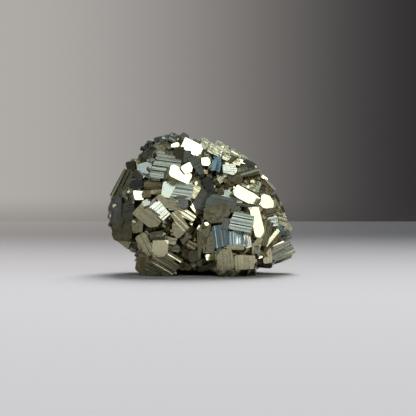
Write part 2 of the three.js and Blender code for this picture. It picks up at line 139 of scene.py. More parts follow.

# Crystals of the front, one a row. Columns: x and z where the middle of its outward face appears
# on the plane y = 0; how far it rises out of the core; the way the face looks, as degrees to the
# right and degrees up; its roll; its width along the growth lines and its height across them;
# the cut of its corners, clockwise from the top left; its ledges; and its tarnish, whose
# brightness is partly painted light, set for how the face catches the light.
UPPER_LEFT = (
    (-8.6, 25.9, 2.0, -5, 17, -8, 6.8, 6.4, (0.3, 1.2, 1.6, 0.6), G, Tone.SILVER),
    (-5.1, 24.0, 2.9, 25, 22, -28, 5.6, 3.2, (0.6, 0.5, 0.4, 0.7), P, Tone.BRIGHT),
    (-5.4, 20.3, 3.2, -5, 27, -10, 6.5, 4.4, (0.7, 0.6, 0.5, 0.9), B, Tone.BLUE),
    (-8.0, 20.6, 3.1, -8, 33, -10, 3.2, 5.2, (1.2, 0.3, 0.3, 1.1), P, Tone.SILVER),
    (-7.6, 17.9, 2.7, 0, 16, -20, 3.4, 1.8, (0.4, 0.3, 0.3, 0.6), F, Tone.KHAKI),
    (-3.4, 25.4, 2.5, 20, 15, 25, 2.8, 2.3, (0.5, 0.2, 0.8, 0.4), P, Tone.BRIGHT),
    (-5.2, 28.6, 1.5, -5, 3, 5, 2.4, 4.0, (0.5, 0.3, 0.7, 0.6), P, Tone.UMBER),
    (-3.4, 28.3, 2.0, 5, 8, 0, 1.9, 3.0, (0.5, 0.4, 0.3, 0.4), P, Tone.SLATE),
    (-1.0, 26.2, 2.4, 5, 10, 30, 2.2, 4.8, (0.4, 0.6, 0.7, 0.3), P, Tone.SLATE),
    (-2.2, 30.6, 1.8, 24, 26, -33, 5.0, 3.6, (0.3, 0.7, 0.9, 0.5), P, Tone.BRIGHT),
    (-6.3, 31.1, 2.3, 20, 20, 12, 2.2, 1.2, (0.2, 0.3, 0.3, 0.3), P, Tone.PALE),
    (1.1, 27.1, 1.8, 25, 22, 0, 2.3, 2.1, (0.3, 0.4, 0.6, 0.3), P, Tone.BRIGHT),
    (-16.4, 23.6, 3.2, -10, 30, 5, 1.6, 2.2, (0.3, 0.3, 0.3, 0.4), P, Tone.BLUE),
    (-17.2, 26.2, 1.6, -20, 5, 10, 2.4, 2.0, (0.5, 0.3, 0.4, 0.4), P, Tone.OLIVE),
    (-13.8, 25.5, 3.2, -20, 28, 10, 3.8, 3.4, (0.7, 0.3, 0.4, 0.8), P, Tone.PEWTER),
    (-13.0, 30.2, 1.0, -35, 10, 40, 3.0, 2.6, (0.4, 0.4, 0.4, 0.4), R, Tone.NAVY),
    (-9.6, 32.2, 1.0, -15, 8, 15, 3.8, 2.4, (0.5, 0.4, 0.4, 0.3), R, Tone.SLATE),
    (-6.2, 32.6, 1.6, 10, 6, -20, 3.2, 2.4, (0.4, 0.4, 0.5, 0.4), R, Tone.NAVY),
)
UPPER_RIGHT = (
    (2.3, 30.5, 1.6, 30, 42, -37, 5.4, 4.0, (0.5, 0.6, 0.5, 0.6), R, Tone.BRIGHT),
    (5.6, 29.6, 1.9, 34, 40, -40, 5.8, 5.2, (0.6, 0.5, 0.8, 0.4), R, Tone.PALE),
    (3.4, 29.9, 2.6, 24, 30, -35, 3.6, 3.0, (0.4, 0.3, 0.5, 0.4), R, Tone.PALE),
    (9.3, 27.7, 2.1, 38, 42, -44, 5.6, 5.0, (0.5, 0.5, 0.8, 0.6), R, Tone.PALE),
    (7.4, 27.6, 3.4, 20, 24, -22, 4.8, 1.8, (0.3, 0.4, 0.4, 0.3), R, Tone.PALE),
    (6.8, 25.3, 2.2, 15, 18, -5, 3.2, 2.7, (0.4, 0.3, 0.5, 0.4), F, Tone.SILVER),
    (11.5, 26.2, 2.0, 10, 2, -20, 3.2, 2.4, (0.6, 0.4, 0.5, 0.3), P, Tone.NAVY),
    (10.2, 27.0, 2.4, 22, 20, -20, 2.4, 1.0, (0.2, 0.3, 0.2, 0.2), P, Tone.PALE),
    (10.2, 24.0, 2.4, -5, 10, 17, 7.6, 1.7, (0.3, 0.4, 0.3, 0.4), B, Tone.OLIVE),
    (7.8, 22.5, 1.2, 0, -10, 15, 4.0, 2.0, (0.4, 0.3, 0.3, 0.3), R, Tone.UMBER),
    (12.2, 21.6, 1.8, 10, 35, -35, 4.4, 3.4, (0.5, 0.4, 0.6, 0.5), R, Tone.KHAKI),
    (15.4, 23.1, 1.3, 30, 10, -42, 1.8, 0.9, (0.1, 0.2, 0.2, 0.1), P, Tone.BRIGHT),
    (16.9, 21.5, 1.5, 20, 4, -46, 3.6, 0.8, (0.1, 0.2, 0.2, 0.1), P, Tone.NAVY),
    (15.8, 20.8, 1.3, 5, -8, -42, 4.0, 2.6, (0.3, 0.5, 0.6, 0.4), F, Tone.BROWN),
    (10.9, 18.8, 3.2, 25, 22, -38, 6.6, 3.5, (0.3, 0.2, 0.7, 0.8), F, Tone.BRIGHT),
    (16.0, 17.3, 1.8, 38, 15, -15, 3.9, 3.5, (0.8, 1.2, 1.0, 0.5), P, Tone.BRIGHT),
    (13.8, 17.1, 3.8, 10, -4, 58, 1.8, 0.8, (0.1, 0.1, 0.1, 0.1), P, Tone.NAVY),
    (3.0, 26.2, 2.3, -10, 25, -5, 1.3, 2.8, (0.2, 0.3, 0.2, 0.3), P, Tone.INDIGO),
    (4.2, 25.8, 2.4, -20, 22, 8, 1.3, 2.8, (0.3, 0.2, 0.3, 0.3), P, Tone.INDIGO),
    (3.9, 28.0, 1.8, -5, 18, 12, 1.7, 1.8, (0.4, 0.3, 0.4, 0.3), R, Tone.INDIGO),
    (7.6, 18.4, 2.3, 0, 28, -33, 5.4, 3.0, (0.2, 0.4, 0.5, 0.3), F, Tone.BLUE),
    (10.6, 16.5, 2.3, -5, 5, -8, 3.8, 1.1, (0.2, 0.2, 0.2, 0.2), F, Tone.OLIVE),
    (8.0, 15.3, 2.4, 10, 10, 0, 1.7, 1.3, (0.4, 0.4, 0.4, 0.4), P, Tone.KHAKI),
)
MIDDLE = (
    (4.9, 17.0, 2.2, 0, 12, -12, 7.4, 3.6, (1.5, 1.4, 0.3, 0.3), P, Tone.SLATE),
    (3.8, 14.4, 2.5, -8, -6, 8, 6.6, 4.2, (0.5, 0.4, 1.9, 1.6), W, Tone.OLIVE),
    (0.3, 17.9, 1.6, 10, 7, -25, 3.6, 5.0, (0.6, 0.4, 0.9, 0.5), P, Tone.SLATE),
    (2.0, 21.0, 1.6, -4, 6, 25, 2.3, 4.8, (0.5, 0.4, 0.6, 0.3), P, Tone.NAVY),
    (4.6, 19.3, 2.0, 5, 4, -10, 1.8, 2.2, (0.4, 0.5, 0.3, 0.3), P, Tone.KHAKI),
    (-1.6, 19.8, 2.6, 20, 10, -30, 2.0, 3.3, (0.4, 0.2, 0.4, 0.3), F, Tone.KHAKI),
    (-3.7, 14.3, 3.2, 20, 16, -35, 4.8, 2.3, (0.3, 0.3, 0.4, 0.3), B, Tone.PALE),
    (-1.9, 15.7, 2.4, 25, 10, -62, 4.2, 0.9, (0.2, 0.2, 0.2, 0.2), P, Tone.BRIGHT),
    (-4.6, 17.3, 3.9, 5, 0, 0, 2.8, 3.0, (0.6, 0.5, 0.6, 0.5), W, Tone.SLATE),
    (-6.9, 16.4, 2.8, 0, -10, 3, 2.4, 2.3, (0.4, 0.3, 0.3, 0.4), F, Tone.KHAKI),
    (-0.4, 11.0, 3.4, 25, 20, 55, 1.4, 1.0, (0.2, 0.2, 0.2, 0.2), P, Tone.BRIGHT),
    (1.3, 12.0, 3.8, 20, 22, 15, 1.0, 0.9, (0.2, 0.2, 0.2, 0.2), P, Tone.BRIGHT),
)
LEFT = (
    (-19.3, 21.3, 2.6, -32, 8, 63, 8.2, 3.8, (0.4, 0.7, 0.5, 0.4), G, Tone.KHAKI),
    (-20.6, 15.2, 1.8, -38, 2, 82, 6.6, 3.6, (0.7, 0.6, 0.5, 0.7), W, Tone.NAVY),
    (-15.8, 21.4, 2.0, -15, 5, 10, 3.5, 2.7, (0.9, 0.4, 0.3, 0.5), P, Tone.NAVY),
    (-15.2, 18.9, 2.6, 20, 20, -3, 2.5, 2.3, (0.2, 0.3, 0.3, 0.5), P, Tone.BRIGHT),
    (-11.7, 21.3, 2.2, 0, -12, 8, 4.2, 1.7, (0.3, 0.3, 0.3, 0.4), F, Tone.BROWN),
    (-13.2, 19.2, 2.2, -5, -6, 0, 1.9, 1.7, (0.3, 0.2, 0.3, 0.2), P, Tone.BROWN),
    (-11.0, 19.6, 2.4, 5, -15, 5, 2.6, 1.2, (0.2, 0.2, 0.3, 0.3), P, Tone.KHAKI),
    (-9.2, 17.5, 2.8, 5, -9, -38, 3.8, 1.9, (0.3, 0.4, 0.4, 0.3), P, Tone.MOSS),
    (-13.4, 17.1, 4.5, 0, 28, 15, 1.6, 1.7, (0.4, 0.2, 0.5, 0.3), P, Tone.BLUE),
    (-10.5, 16.2, 3.6, 20, 22, 38, 2.8, 4.1, (0.3, 0.2, 0.2, 0.3), G, Tone.BLUE),
    (-9.0, 14.3, 3.3, 18, 18, 38, 2.7, 2.0, (0.2, 0.3, 0.3, 0.2), B, Tone.BLUE),
    (-12.9, 13.9, 3.2, -5, -9, -38, 6.6, 4.0, (1.2, 0.7, 1.4, 1.1), F, Tone.MOSS),
    (-15.5, 11.7, 2.4, -18, -6, -3, 2.9, 3.4, (0.8, 0.5, 0.4, 0.3), F, Tone.OLIVE),
    (-17.5, 15.0, 2.6, -30, 3, 8, 3.0, 4.4, (0.5, 0.6, 0.7, 0.8), P, Tone.NAVY),
    (-20.3, 12.0, 2.2, -44, 4, -10, 3.8, 5.0, (0.7, 0.4, 0.5, 0.9), W, Tone.UMBER),
    (-19.2, 8.6, 1.2, -42, -16, -40, 5.6, 3.8, (0.6, 0.5, 0.7, 0.6), W, Tone.OLIVE),
)
LOWER_LEFT = (
    (-17.1, 6.9, 1.6, -35, -25, -40, 3.4, 3.4, (0.5, 0.5, 0.6, 0.5), W, Tone.OLIVE),
    (-13.6, 6.9, 2.8, -12, -5.5, -63, 5.6, 2.9, (0.5, 0.4, 0.6, 0.5), F, Tone.MOSS),
    (-10.0, 6.0, 3.8, 3, -5.5, -3, 3.8, 4.0, (0.7, 0.9, 1.1, 1.2), P, Tone.BRIGHT),
    (-11.8, 5.6, 4.0, -25, -8, -68, 3.6, 1.1, (0.2, 0.2, 0.2, 0.2), B, Tone.KHAKI),
    (-14.3, 2.6, 3.4, -30, 2, -12, 3.4, 4.4, (0.6, 0.5, 0.6, 0.5), P, Tone.BROWN),
    (-11.4, 1.5, 2.6, -8, -6, -20, 4.2, 3.2, (0.5, 0.6, 0.6, 0.5), F, Tone.OLIVE),
    (-8.8, 2.4, 3.6, 3, -4, -31, 6.6, 3.8, (0.3, 0.5, 0.5, 0.4), G, Tone.MOSS),
    (-6.5, 3.7, 3.9, 5, -6, -32, 3.8, 1.3, (0.2, 0.3, 0.2, 0.2), G, Tone.KHAKI),
    (-11.0, 9.2, 2.6, 0, 3, 0, 3.2, 2.0, (0.3, 0.3, 0.3, 0.4), B, Tone.OLIVE),
    (-7.6, 7.9, 3.0, 5, -6, -8, 3.0, 1.8, (0.4, 0.3, 0.4, 0.3), F, Tone.KHAKI),
    (-6.6, 6.2, 1.8, 0, -5, -15, 2.8, 2.0, (0.4, 0.3, 0.3, 0.3), B, Tone.OLIVE),
    (-5.2, 12.7, 3.5, 5, -8, -45, 5.4, 2.4, (0.3, 0.3, 0.4, 0.5), F, Tone.KHAKI),
    (-5.5, 10.6, 3.1, 3, -9, 0, 3.0, 4.2, (0.6, 0.3, 1.4, 1.1), F, Tone.KHAKI),
    (-3.4, 9.8, 1.4, -5, -2, 52, 4.2, 1.6, (0.3, 0.2, 0.3, 0.3), B, Tone.UMBER),
    (-3.6, 8.3, 1.2, -5, -8, 20, 2.9, 1.0, (0.2, 0.2, 0.2, 0.2), F, Tone.OLIVE),
    (-1.8, 2.2, 2.0, 5, 10, 10, 1.4, 1.3, (0.3, 0.3, 0.3, 0.3), P, Tone.BRIGHT),
    (-4.0, 1.7, 2.4, 0, -5, 0, 3.2, 2.0, (0.4, 0.3, 0.4, 0.3), F, Tone.BROWN),
)
LOWER_RIGHT = (
    (13.6, 12.4, 2.7, 31, 8, 93, 7.3, 3.2, (1.1, 1.0, 0.9, 1.2), P, Tone.BRIGHT),
    (9.9, 12.7, 3.2, -6, 29, -12, 5.4, 5.2, (0.6, 0.3, 0.3, 0.5), G, Tone.SILVER),
    (9.0, 8.4, 3.2, 5, 19, 90, 3.8, 4.3, (0.3, 0.4, 0.3, 0.3), B, Tone.AZURE),
    (11.3, 7.9, 3.8, 32, 6, 98, 3.5, 1.9, (0.4, 0.5, 0.5, 0.4), F, Tone.BLUE),
    (8.3, 6.3, 3.4, 0, -7, 0, 4.2, 1.1, (0.3, 0.3, 0.3, 0.4), F, Tone.PALE),
    (4.7, 9.0, 2.8, -12, 13, 100, 5.4, 3.8, (0.5, 0.6, 1.2, 0.9), F, Tone.AZURE),
    (6.0, 11.9, 2.4, -10, -5, 80, 2.8, 1.9, (0.4, 0.3, 0.4, 0.3), F, Tone.NAVY),
    (2.0, 7.5, 2.4, -14, 2, 84, 5.4, 3.4, (0.6, 0.6, 0.7, 0.7), F, Tone.KHAKI),
    (5.9, 3.3, 3.2, -5, -4, 95, 5.1, 4.1, (0.7, 1.7, 0.6, 1.0), F, Tone.KHAKI),
    (10.6, 2.7, 3.2, 8, -4.5, 93, 3.5, 4.9, (0.4, 0.5, 0.9, 0.5), F, Tone.PALE),
    (6.4, 1.0, 3.6, -5, -22, 45, 5.4, 5.0, (0.6, 0.6, 0.6, 0.6), R, Tone.PALE),
    (16.1, 4.3, 3.4, 15, -5, 95, 3.8, 2.3, (0.4, 0.5, 0.5, 0.4), F, Tone.BRIGHT),
    (19.5, 5.7, 4.6, 8, 13, 25, 5.9, 3.9, (0.3, 0.4, 0.7, 0.6), B, Tone.STEEL),
    (19.1, 8.5, 0.4, 4, 9, 25, 5.8, 2.4, (0.5, 0.6, 0.3, 0.3), B, Tone.SLATE),
    (19.8, 3.3, 1.8, 20, -42, 20, 4.6, 1.6, (0.3, 0.4, 0.4, 0.5), F, Tone.OLIVE),
    (18.4, 10.3, 2.4, -6, 6, 42, 3.2, 2.6, (0.5, 0.4, 0.4, 0.5), B, Tone.INDIGO),
    (17.2, 8.6, 3.3, 15, 18, 47, 5.4, 0.9, (0.1, 0.1, 0.1, 0.1), P, Tone.KHAKI),
    (17.4, 12.6, 2.9, 14, 12, 10, 2.6, 2.4, (0.5, 0.4, 0.4, 0.3), B, Tone.BLUE),
    (19.6, 12.6, 2.6, 15, 12, -15, 2.5, 2.2, (0.4, 0.5, 0.3, 0.4), B, Tone.OLIVE),
    (20.9, 11.0, 2.6, 20, 8, 30, 2.4, 2.0, (0.5, 0.5, 0.4, 0.3), B, Tone.OLIVE),
    (16.7, 14.9, 1.8, 5, 2, 15, 3.2, 2.0, (0.3, 0.4, 0.3, 0.3), F, Tone.OLIVE),
    (15.7, 9.8, 2.6, 12, 3, 73, 6.0, 2.4, (0.3, 0.3, 0.3, 0.3), B, Tone.KHAKI),
    (13.9, 7.4, 2.6, 15, -8, 60, 2.6, 2.0, (0.3, 0.3, 0.3, 0.3), P, Tone.MOSS),
    (14.2, 4.2, 3.9, 20, 18, 15, 1.2, 1.2, (0.2, 0.2, 0.2, 0.2), P, Tone.BRIGHT),
    (13.3, 5.6, 3.4, -10, 20, -15, 1.3, 1.6, (0.2, 0.3, 0.2, 0.2), P, Tone.SLATE),
    (14.0, 2.9, 3.8, -15, 15, 20, 1.4, 1.4, (0.3, 0.2, 0.2, 0.3), P, Tone.SLATE),
    (12.6, 5.9, 3.2, 5, -12, 100, 2.8, 0.7, (0.1, 0.1, 0.1, 0.1), P, Tone.KHAKI),
    (15.4, 1.9, 3.0, 5, -32, 0, 3.8, 1.8, (0.3, 0.4, 0.5, 0.3), F, Tone.OLIVE),
    (2.3, 3.9, 3.0, 20, 20, 5, 2.4, 1.6, (0.3, 0.3, 0.2, 0.3), P, Tone.BRIGHT),
    (0.6, 1.4, 3.2, -5, -6, 0, 3.4, 2.0, (0.4, 0.3, 0.4, 0.3), F, Tone.BROWN),
    (-0.3, 6.6, 1.6, -8, 0, 86, 6.6, 1.7, (0.4, 0.3, 0.4, 0.3), F, Tone.OLIVE),
    (0.8, 10.6, 2.4, -5, -5, 70, 3.6, 2.6, (0.7, 0.5, 0.6, 0.5), F, Tone.OLIVE),
    (-1.7, 4.2, 1.4, -10, 12, 15, 2.8, 2.8, (0.5, 0.6, 0.4, 0.5), P, Tone.UMBER),
    (-2.3, 6.8, 1.2, 5, -8, -30, 2.4, 1.8, (0.4, 0.3, 0.4, 0.3), F, Tone.BROWN),
    (-0.4, 2.7, 2.6, 10, -5, 80, 2.0, 1.3, (0.3, 0.3, 0.3, 0.3), P, Tone.BROWN),
    (3.2, 1.7, 2.6, -20, -25, 12, 3.2, 2.4, (0.5, 0.4, 0.5, 0.4), R, Tone.MOSS),
)
# Crystals that fill out the outline, and thin glints.
RIM = (
    (-17.2, 26.0, 0.0, -62, 12, 20, 3.6, 3.0, (0.4, 0.3, 0.4, 0.4), R, Tone.OLIVE),
    (-14.3, 28.2, 0.5, -58, 22, 30, 4.2, 3.6, (0.5, 0.4, 0.5, 0.4), R, Tone.UMBER),
    (-15.4, 26.6, 0.6, -30, 10, 15, 2.6, 2.4, (0.4, 0.3, 0.4, 0.4), P, Tone.OLIVE),
    (-18.9, 12.4, 1.3, -36, 4, 80, 9.5, 6.5, (1.6, 1.4, 1.8, 1.5), W, Tone.UMBER),
    (3.3, 29.6, 3.2, 24, 28, -35, 3.8, 2.3, (0.4, 0.3, 0.5, 0.4), R, Tone.PALE),
    (-21.0, 16.5, 3.4, 10, 22, 20, 0.7, 0.6, (0.1, 0.1, 0.1, 0.1), P, Tone.BRIGHT),
    (-17.6, 19.8, 3.6, 15, 20, 40, 0.7, 0.5, (0.1, 0.1, 0.1, 0.1), P, Tone.BRIGHT),
    (-16.3, 12.6, 3.8, 12, 20, -30, 0.8, 0.5, (0.1, 0.1, 0.1, 0.1), P, Tone.BRIGHT),
    (19.3, 7.4, 4.0, 22, 22, 26, 5.4, 0.4, (0.1, 0.1, 0.1, 0.1), P, Tone.BRIGHT),
)
FRONT = UPPER_LEFT + UPPER_RIGHT + MIDDLE + LEFT + LOWER_LEFT + LOWER_RIGHT + RIM


@dataclass(frozen=True)
class Kind:
    """A kind of small crystal that a formula places.

    Ranges are least and greatest, in mm and degrees. The turns are away from the way that the
    core faces there.
    """

    first: int
    count: int
    width: tuple[float, float]
    slimness: tuple[float, float]
    rise: tuple[float, float]
    right: tuple[float, float]
    up: tuple[float, float]
    cut: float
    ledges: tuple[Ledges, ...]


# Where the numbers of each kind of crystal start. A crystal's number fixes how it turns out.
FIRST_FOOT = 300
FIRST_LARGE = 400
FIRST_MIDDLING = 1000
FIRST_GRIT = 2000
FIRST_CREVICE = 4000
FIRST_COMPANION = 20000
COMPANION_STEP = 16
FIRST_GRANULE = 60000
GRANULE_STEP = 64

MIDDLING = Kind(
    FIRST_MIDDLING, 420, (1.6, 3.2), (0.6, 1.0), (0.0, 0.8), (-28, 28), (-28, 28), 0.25, (B, F, P)
)
GRIT = Kind(FIRST_GRIT, 900, (0.6, 1.5), (0.85, 0.85), (0.0, 0.5), (-50, 50), (-50, 50), 0.3, (P,))
CREVICE = Kind(
    FIRST_CREVICE, 1500, (0.7, 2.0), (0.6, 1.0), (0.2, 1.6), (-50, 50), (-35, 50), 0.3, (B, F, P)
)


def chance(index: int, salt: int) -> float:
    """A number from 0 to 1 that is the same each time for the same two whole numbers."""
    wave = math.sin(index * INDEX_TURN + salt * SALT_TURN) * WAVE_HEIGHT
    return wave - math.floor(wave)


def between(index: int, salt: int, low: float, high: float) -> float:
    """A repeatable number from low to high."""
    return low + (high - low) * chance(index, salt)


def pick(options: Sequence, index: int, salt: int) -> object:
    """A repeatable choice of one of the options."""
    return options[int(chance(index, salt) * len(options)) % len(options)]


def corner_cuts(index: int, largest: float, first_salt: int) -> tuple[float, ...]:
    """Repeatable cuts for the four corners, each from none to the largest."""
    return tuple(largest * chance(index, salt) for salt in range(first_salt, first_salt + 4))


def within(point: Vector, zone: Zone) -> bool:
    """Whether a point lies inside an ellipsoid."""
    return sum(((p - m) / h) ** 2 for p, m, h in zip(point, *zone)) < 1


def placing(point: Vector, right: float, up: float, roll: float) -> Matrix:
    """Sets a crystal's outward face at a point.

    Args:
        point: Where the middle of the face goes, in mm.
        right: Degrees that the face looks to the right of the front.
        up: Degrees that the face looks above the level.
        roll: Degrees that the crystal is turned about its outward way.

    Returns:
        The matrix that places the crystal.
    """
    a, e, r = (math.radians(v) for v in (right, up, roll))
    out = Vector((math.sin(a) * math.cos(e), -math.cos(a) * math.cos(e), math.sin(e)))
    high = Vector((-math.sin(a) * math.sin(e), math.cos(a) * math.sin(e), math.cos(e)))
    wide = high.cross(out)
    u = wide * math.cos(r) + high * math.sin(r)
    v = high * math.cos(r) - wide * math.sin(r)
    return Matrix.Translation(point) @ Matrix((u, v, out)).transposed().to_4x4()


def turning(degrees: float, axis: str) -> Matrix:
    """A turn about an axis."""
    return Matrix.Rotation(math.radians(degrees), 4, axis)


def cut_away(block: bmesh.types.BMesh, point: Sequence[float], way: Sequence[float]) -> None:
    """Cuts a closed mesh flat and closes the cut.

    Args:
        block: The mesh.
        point: A point of the cut.
        way: The direction from the cut to the part that goes.
    """
    made = bmesh.ops.bisect_plane(
        block,
        geom=[*block.verts, *block.edges, *block.faces],
        plane_co=point,
        plane_no=way,
        clear_outer=True,
    )
    rim = [item for item in made["geom_cut"] if isinstance(item, bmesh.types.BMEdge)]
    if rim:
        bmesh.ops.holes_fill(block, edges=rim)


def add_layers(block: bmesh.types.BMesh) -> tuple[bmesh.types.BMLayerItem, ...]:
    """Adds the layers that the finish reads: growth lines, tarnish with painted shading, and surface."""
    layers = block.loops.layers
    return layers.uv.new("growth"), layers.float_color.new("tarnish"), layers.float_color.new("surface")


@dataclass(frozen=True)
class Crystal:
    """One cubic crystal, whose outward face lies on its own z = 0.

    Sizes are in mm, turns in degrees, and pairs are the least and greatest. Its body reaches
    inwards by body_depth of its size and root_depth more, so that it is rooted in the core. Flat
    cuts take off its corners, leans set its sides out of square, and rust with painted shade of the
    hollows starts a little below its face and grows inwards. Companions are smaller crystals along
    its edges, as shares of its size, and granules are the grains of a rough face.
    """

    number: int
    matrix: Matrix
    width: float
    height: float
    cuts: tuple[float, ...]
    ledges: Ledges
    tarnish: tuple[float, float, float]
    depth: float = 0.0
    body_depth: float = 1.05
    root_depth: float = 1.6
    outward: float = 0.7
    edge_margin: float = 0.05
    fit: float = 1e-5
    surface_reach: float = 0.01
    level_share: float = 0.5
    groove_depth: float = 0.9
    groove_wall: float = 0.04
    cut_depth: float = 0.8
    sharp_cut: float = 0.12
    largest_cut: float = 0.48
    largest_lean: float = 11.0
    lean_inset: float = 0.35
    rust_start: float = 0.5
    rust_depth: float = 2.6
    companion_count: int = 0
    companion_along: float = 0.48
    companion_inset: float = 0.96
    companion_width: tuple[float, float] = (0.24, 0.45)
    companion_height: tuple[float, float] = (0.6, 1.2)
    companion_drop: tuple[float, float] = (0.25, 1.2)
    companion_turn: float = 9.0
    companion_tip: float = 5.0
    companion_cut: float = 0.35
    granule_density: float = 1.1
    granule_along: float = 0.46
    granule_width: tuple[float, float] = (0.5, 1.2)
    granule_height: float = 0.8
    granule_rise: tuple[float, float] = (-0.1, 0.3)
    granule_tip: float = 24.0
    granule_cut: float = 0.4
    granule_depth: float = 1.6

    def profile(self) -> list[tuple[float, float]]:
        """The growth ledges across the outward face.

        Returns:
            Places across the face and their heights, from the bottom up, in mm.
        """
        tread_low, tread_high, riser_low, riser_high, step, _, _ = self.ledges.value
        place, level, draw = -self.height / 2, 0.0, 0
        points = []
        while step:
            draw += 1
            place += between(self.number, 100 + 3 * draw, tread_low, tread_high)
            riser = between(self.number, 101 + 3 * draw, riser_low, riser_high)
            if place + riser > self.height / 2 - self.edge_margin:
                break
            points.append((place, level))
            if self.ledges is Ledges.GROOVED and draw % 2 == 0:
                points.append((place + self.groove_wall, -self.groove_depth))
                points.append((place + riser - self.groove_wall, -self.groove_depth))
            else:
                rising = chance(self.number, 102 + 3 * draw) < -level / step
                change = self.level_share if rising else -self.level_share
                level = min(0.0, max(-step, level + change * riser))
            place += riser
            points.append((place, level))
        return points

    def cut_ledges(self, block: bmesh.types.BMesh) -> None:
        """Cuts the outward face across and sets each cut at its ledge's height.

        Args:
            block: The crystal's mesh, before its corners are cut.
        """
        points = self.profile()
        for place, level in points:
            top = [face for face in block.faces if face.normal.z > self.outward]
            edges = {edge for face in top for edge in face.edges}
            corners = {corner for face in top for corner in face.verts}
            made = bmesh.ops.bisect_plane(
                block, geom=[*top, *edges, *corners], plane_co=(0, place, 0), plane_no=(0, 1, 0)
            )
            for item in made["geom_cut"]:
                if isinstance(item, bmesh.types.BMVert):
                    item.co.z = level
            block.normal_update()
        last = points[-1][1] if points else 0.0
        for corner in block.verts:
            at_edge = abs(corner.co.y - self.height / 2) < self.fit
            if at_edge and corner.co.z > -self.surface_reach:
                corner.co.z = last
        block.normal_update()

    def cut_corners(self, block: bmesh.types.BMesh) -> None:
        """Cuts each corner of the outward face with one flat cut.

        Args:
            block: The crystal's mesh.
        """
        smaller = min(self.width, self.height)
        for (side, top), cut in zip(((-1, 1), (1, 1), (1, -1), (-1, -1)), self.cuts):
            cut = min(cut, self.largest_cut * smaller)
            if cut < self.sharp_cut:
                continue
            x, y = side * self.width / 2, top * self.height / 2
            cut_away(block, (x - side * cut, y, 0), (side, top, 1 / self.cut_depth))

    def skew_sides(self, block: bmesh.types.BMesh) -> None:
        """Cuts each side a little out of square, as crystals that crowd each other grow.

        Args:
            block: The crystal's mesh.
        """
        for side in range(4):
            lean = math.radians(between(self.number, 60 + side, -self.largest_lean, self.largest_lean))
            way = math.radians(90 * side)
            out = Vector((math.cos(way), math.sin(way), 0))
            reach = (self.width, self.height)[side % 2] / 2
            half = (self.height, self.width)[side % 2] / 2
            inset = self.lean_inset * half * abs(math.tan(lean))
            cut_away(block, out * (reach - inset), Matrix.Rotation(lean, 3, "Z") @ out)

    def rule_faces(self, block: bmesh.types.BMesh) -> None:
        """Writes the UV map, along and across the growth lines, the tarnish with its painted shading, and
        the surface.

        Args:
            block: The crystal's mesh, before it is placed.
        """
        ruled, film, surface = add_layers(block)
        bright, blue, brown = self.tarnish
        lines, grain = self.ledges.value[5:]
        block.normal_update()
        for face in block.faces:
            n = [abs(c) for c in face.normal]
            for loop in face.loops:
                x, y, z = loop.vert.co
                flat = (x, y) if n[2] >= max(n[0], n[1]) else ((y, z) if n[0] > n[1] else (z, x))
                # Rust and painted shade of the hollows: browner and darker the deeper below the outward
                # face.
                rust = max(0.0, -z - self.rust_start) / self.rust_depth
                loop[ruled].uv = flat
                loop[film] = (bright, blue, brown + rust, 1.0)
                loop[surface] = (lines, chance(self.number, 8), grain, chance(self.number, 9))

    def block(self) -> bmesh.types.BMesh:
        """The crystal's closed mesh.

        Returns:
            The mesh, in place, in mm.
        """
        depth = self.depth or max(self.width, self.height) * self.body_depth + self.root_depth
        block = bmesh.new()
        bmesh.ops.create_cube(block, size=1.0)
        bmesh.ops.translate(block, vec=(0, 0, -0.5), verts=block.verts)
        bmesh.ops.scale(block, vec=(self.width, self.height, depth), verts=block.verts)
        self.cut_ledges(block)
        self.skew_sides(block)
        self.cut_corners(block)
        self.rule_faces(block)
        bmesh.ops.transform(block, matrix=self.matrix, verts=block.verts)
        return block

    def companions(self) -> list["Crystal"]:
        """Smaller crystals grown nearly parallel to this one, which step and break its edges.

        Returns:
            The companions, and the granules of a rough face.
        """
        made = []
        smaller = min(self.width, self.height)
        for i in range(self.companion_count):
            number = FIRST_COMPANION + COMPANION_STEP * self.number + i
            along = between(number, 2, -self.companion_along, self.companion_along)
            sides = (
                (along * self.width, self.height / 2),
                (self.width / 2, along * self.height),
                (along * self.width, -self.height / 2),
                (-self.width / 2, along * self.height),
            )
            x, y = pick(sides, number, 1)
            width = between(number, 3, *self.companion_width) * smaller
            height = width * between(number, 5, *self.companion_height)
            turn = turning(between(number, 6, -self.companion_turn, self.companion_turn), "Z")
            tip = turning(between(number, 7, -self.companion_tip, self.companion_tip), "X")
            low = -between(number, 4, *self.companion_drop)
            place = Matrix.Translation((x * self.companion_inset, y * self.companion_inset, low))
            cuts = corner_cuts(number, width * self.companion_cut, 11)
            matrix = self.matrix @ place @ turn @ tip
            made.append(Crystal(number, matrix, width, height, cuts, F, self.tarnish))
        return made + (self.granules() if self.ledges is Ledges.ROUGH else [])

    def granules(self) -> list["Crystal"]:
        """Small grains that stand a little out of a rough face.

        Returns:
            The grains.
        """
        made = []
        for i in range(int(self.width * self.height * self.granule_density)):
            number = FIRST_GRANULE + GRANULE_STEP * self.number + i
            x = between(number, 1, -self.granule_along, self.granule_along) * self.width
            y = between(number, 2, -self.granule_along, self.granule_along) * self.height
            width = between(number, 3, *self.granule_width)
            place = Matrix.Translation((x, y, between(number, 4, *self.granule_rise)))
            roll = Matrix.Rotation(2 * math.pi * chance(number, 5), 4, "Z")
            tip = turning(between(number, 6, -self.granule_tip, self.granule_tip), "X")
            cuts = corner_cuts(number, width * self.granule_cut, 11)
            matrix = self.matrix @ place @ roll @ tip
            made.append(Crystal(number, matrix, width, width * self.granule_height, cuts, P,
                                self.tarnish, depth=self.granule_depth))
        return made


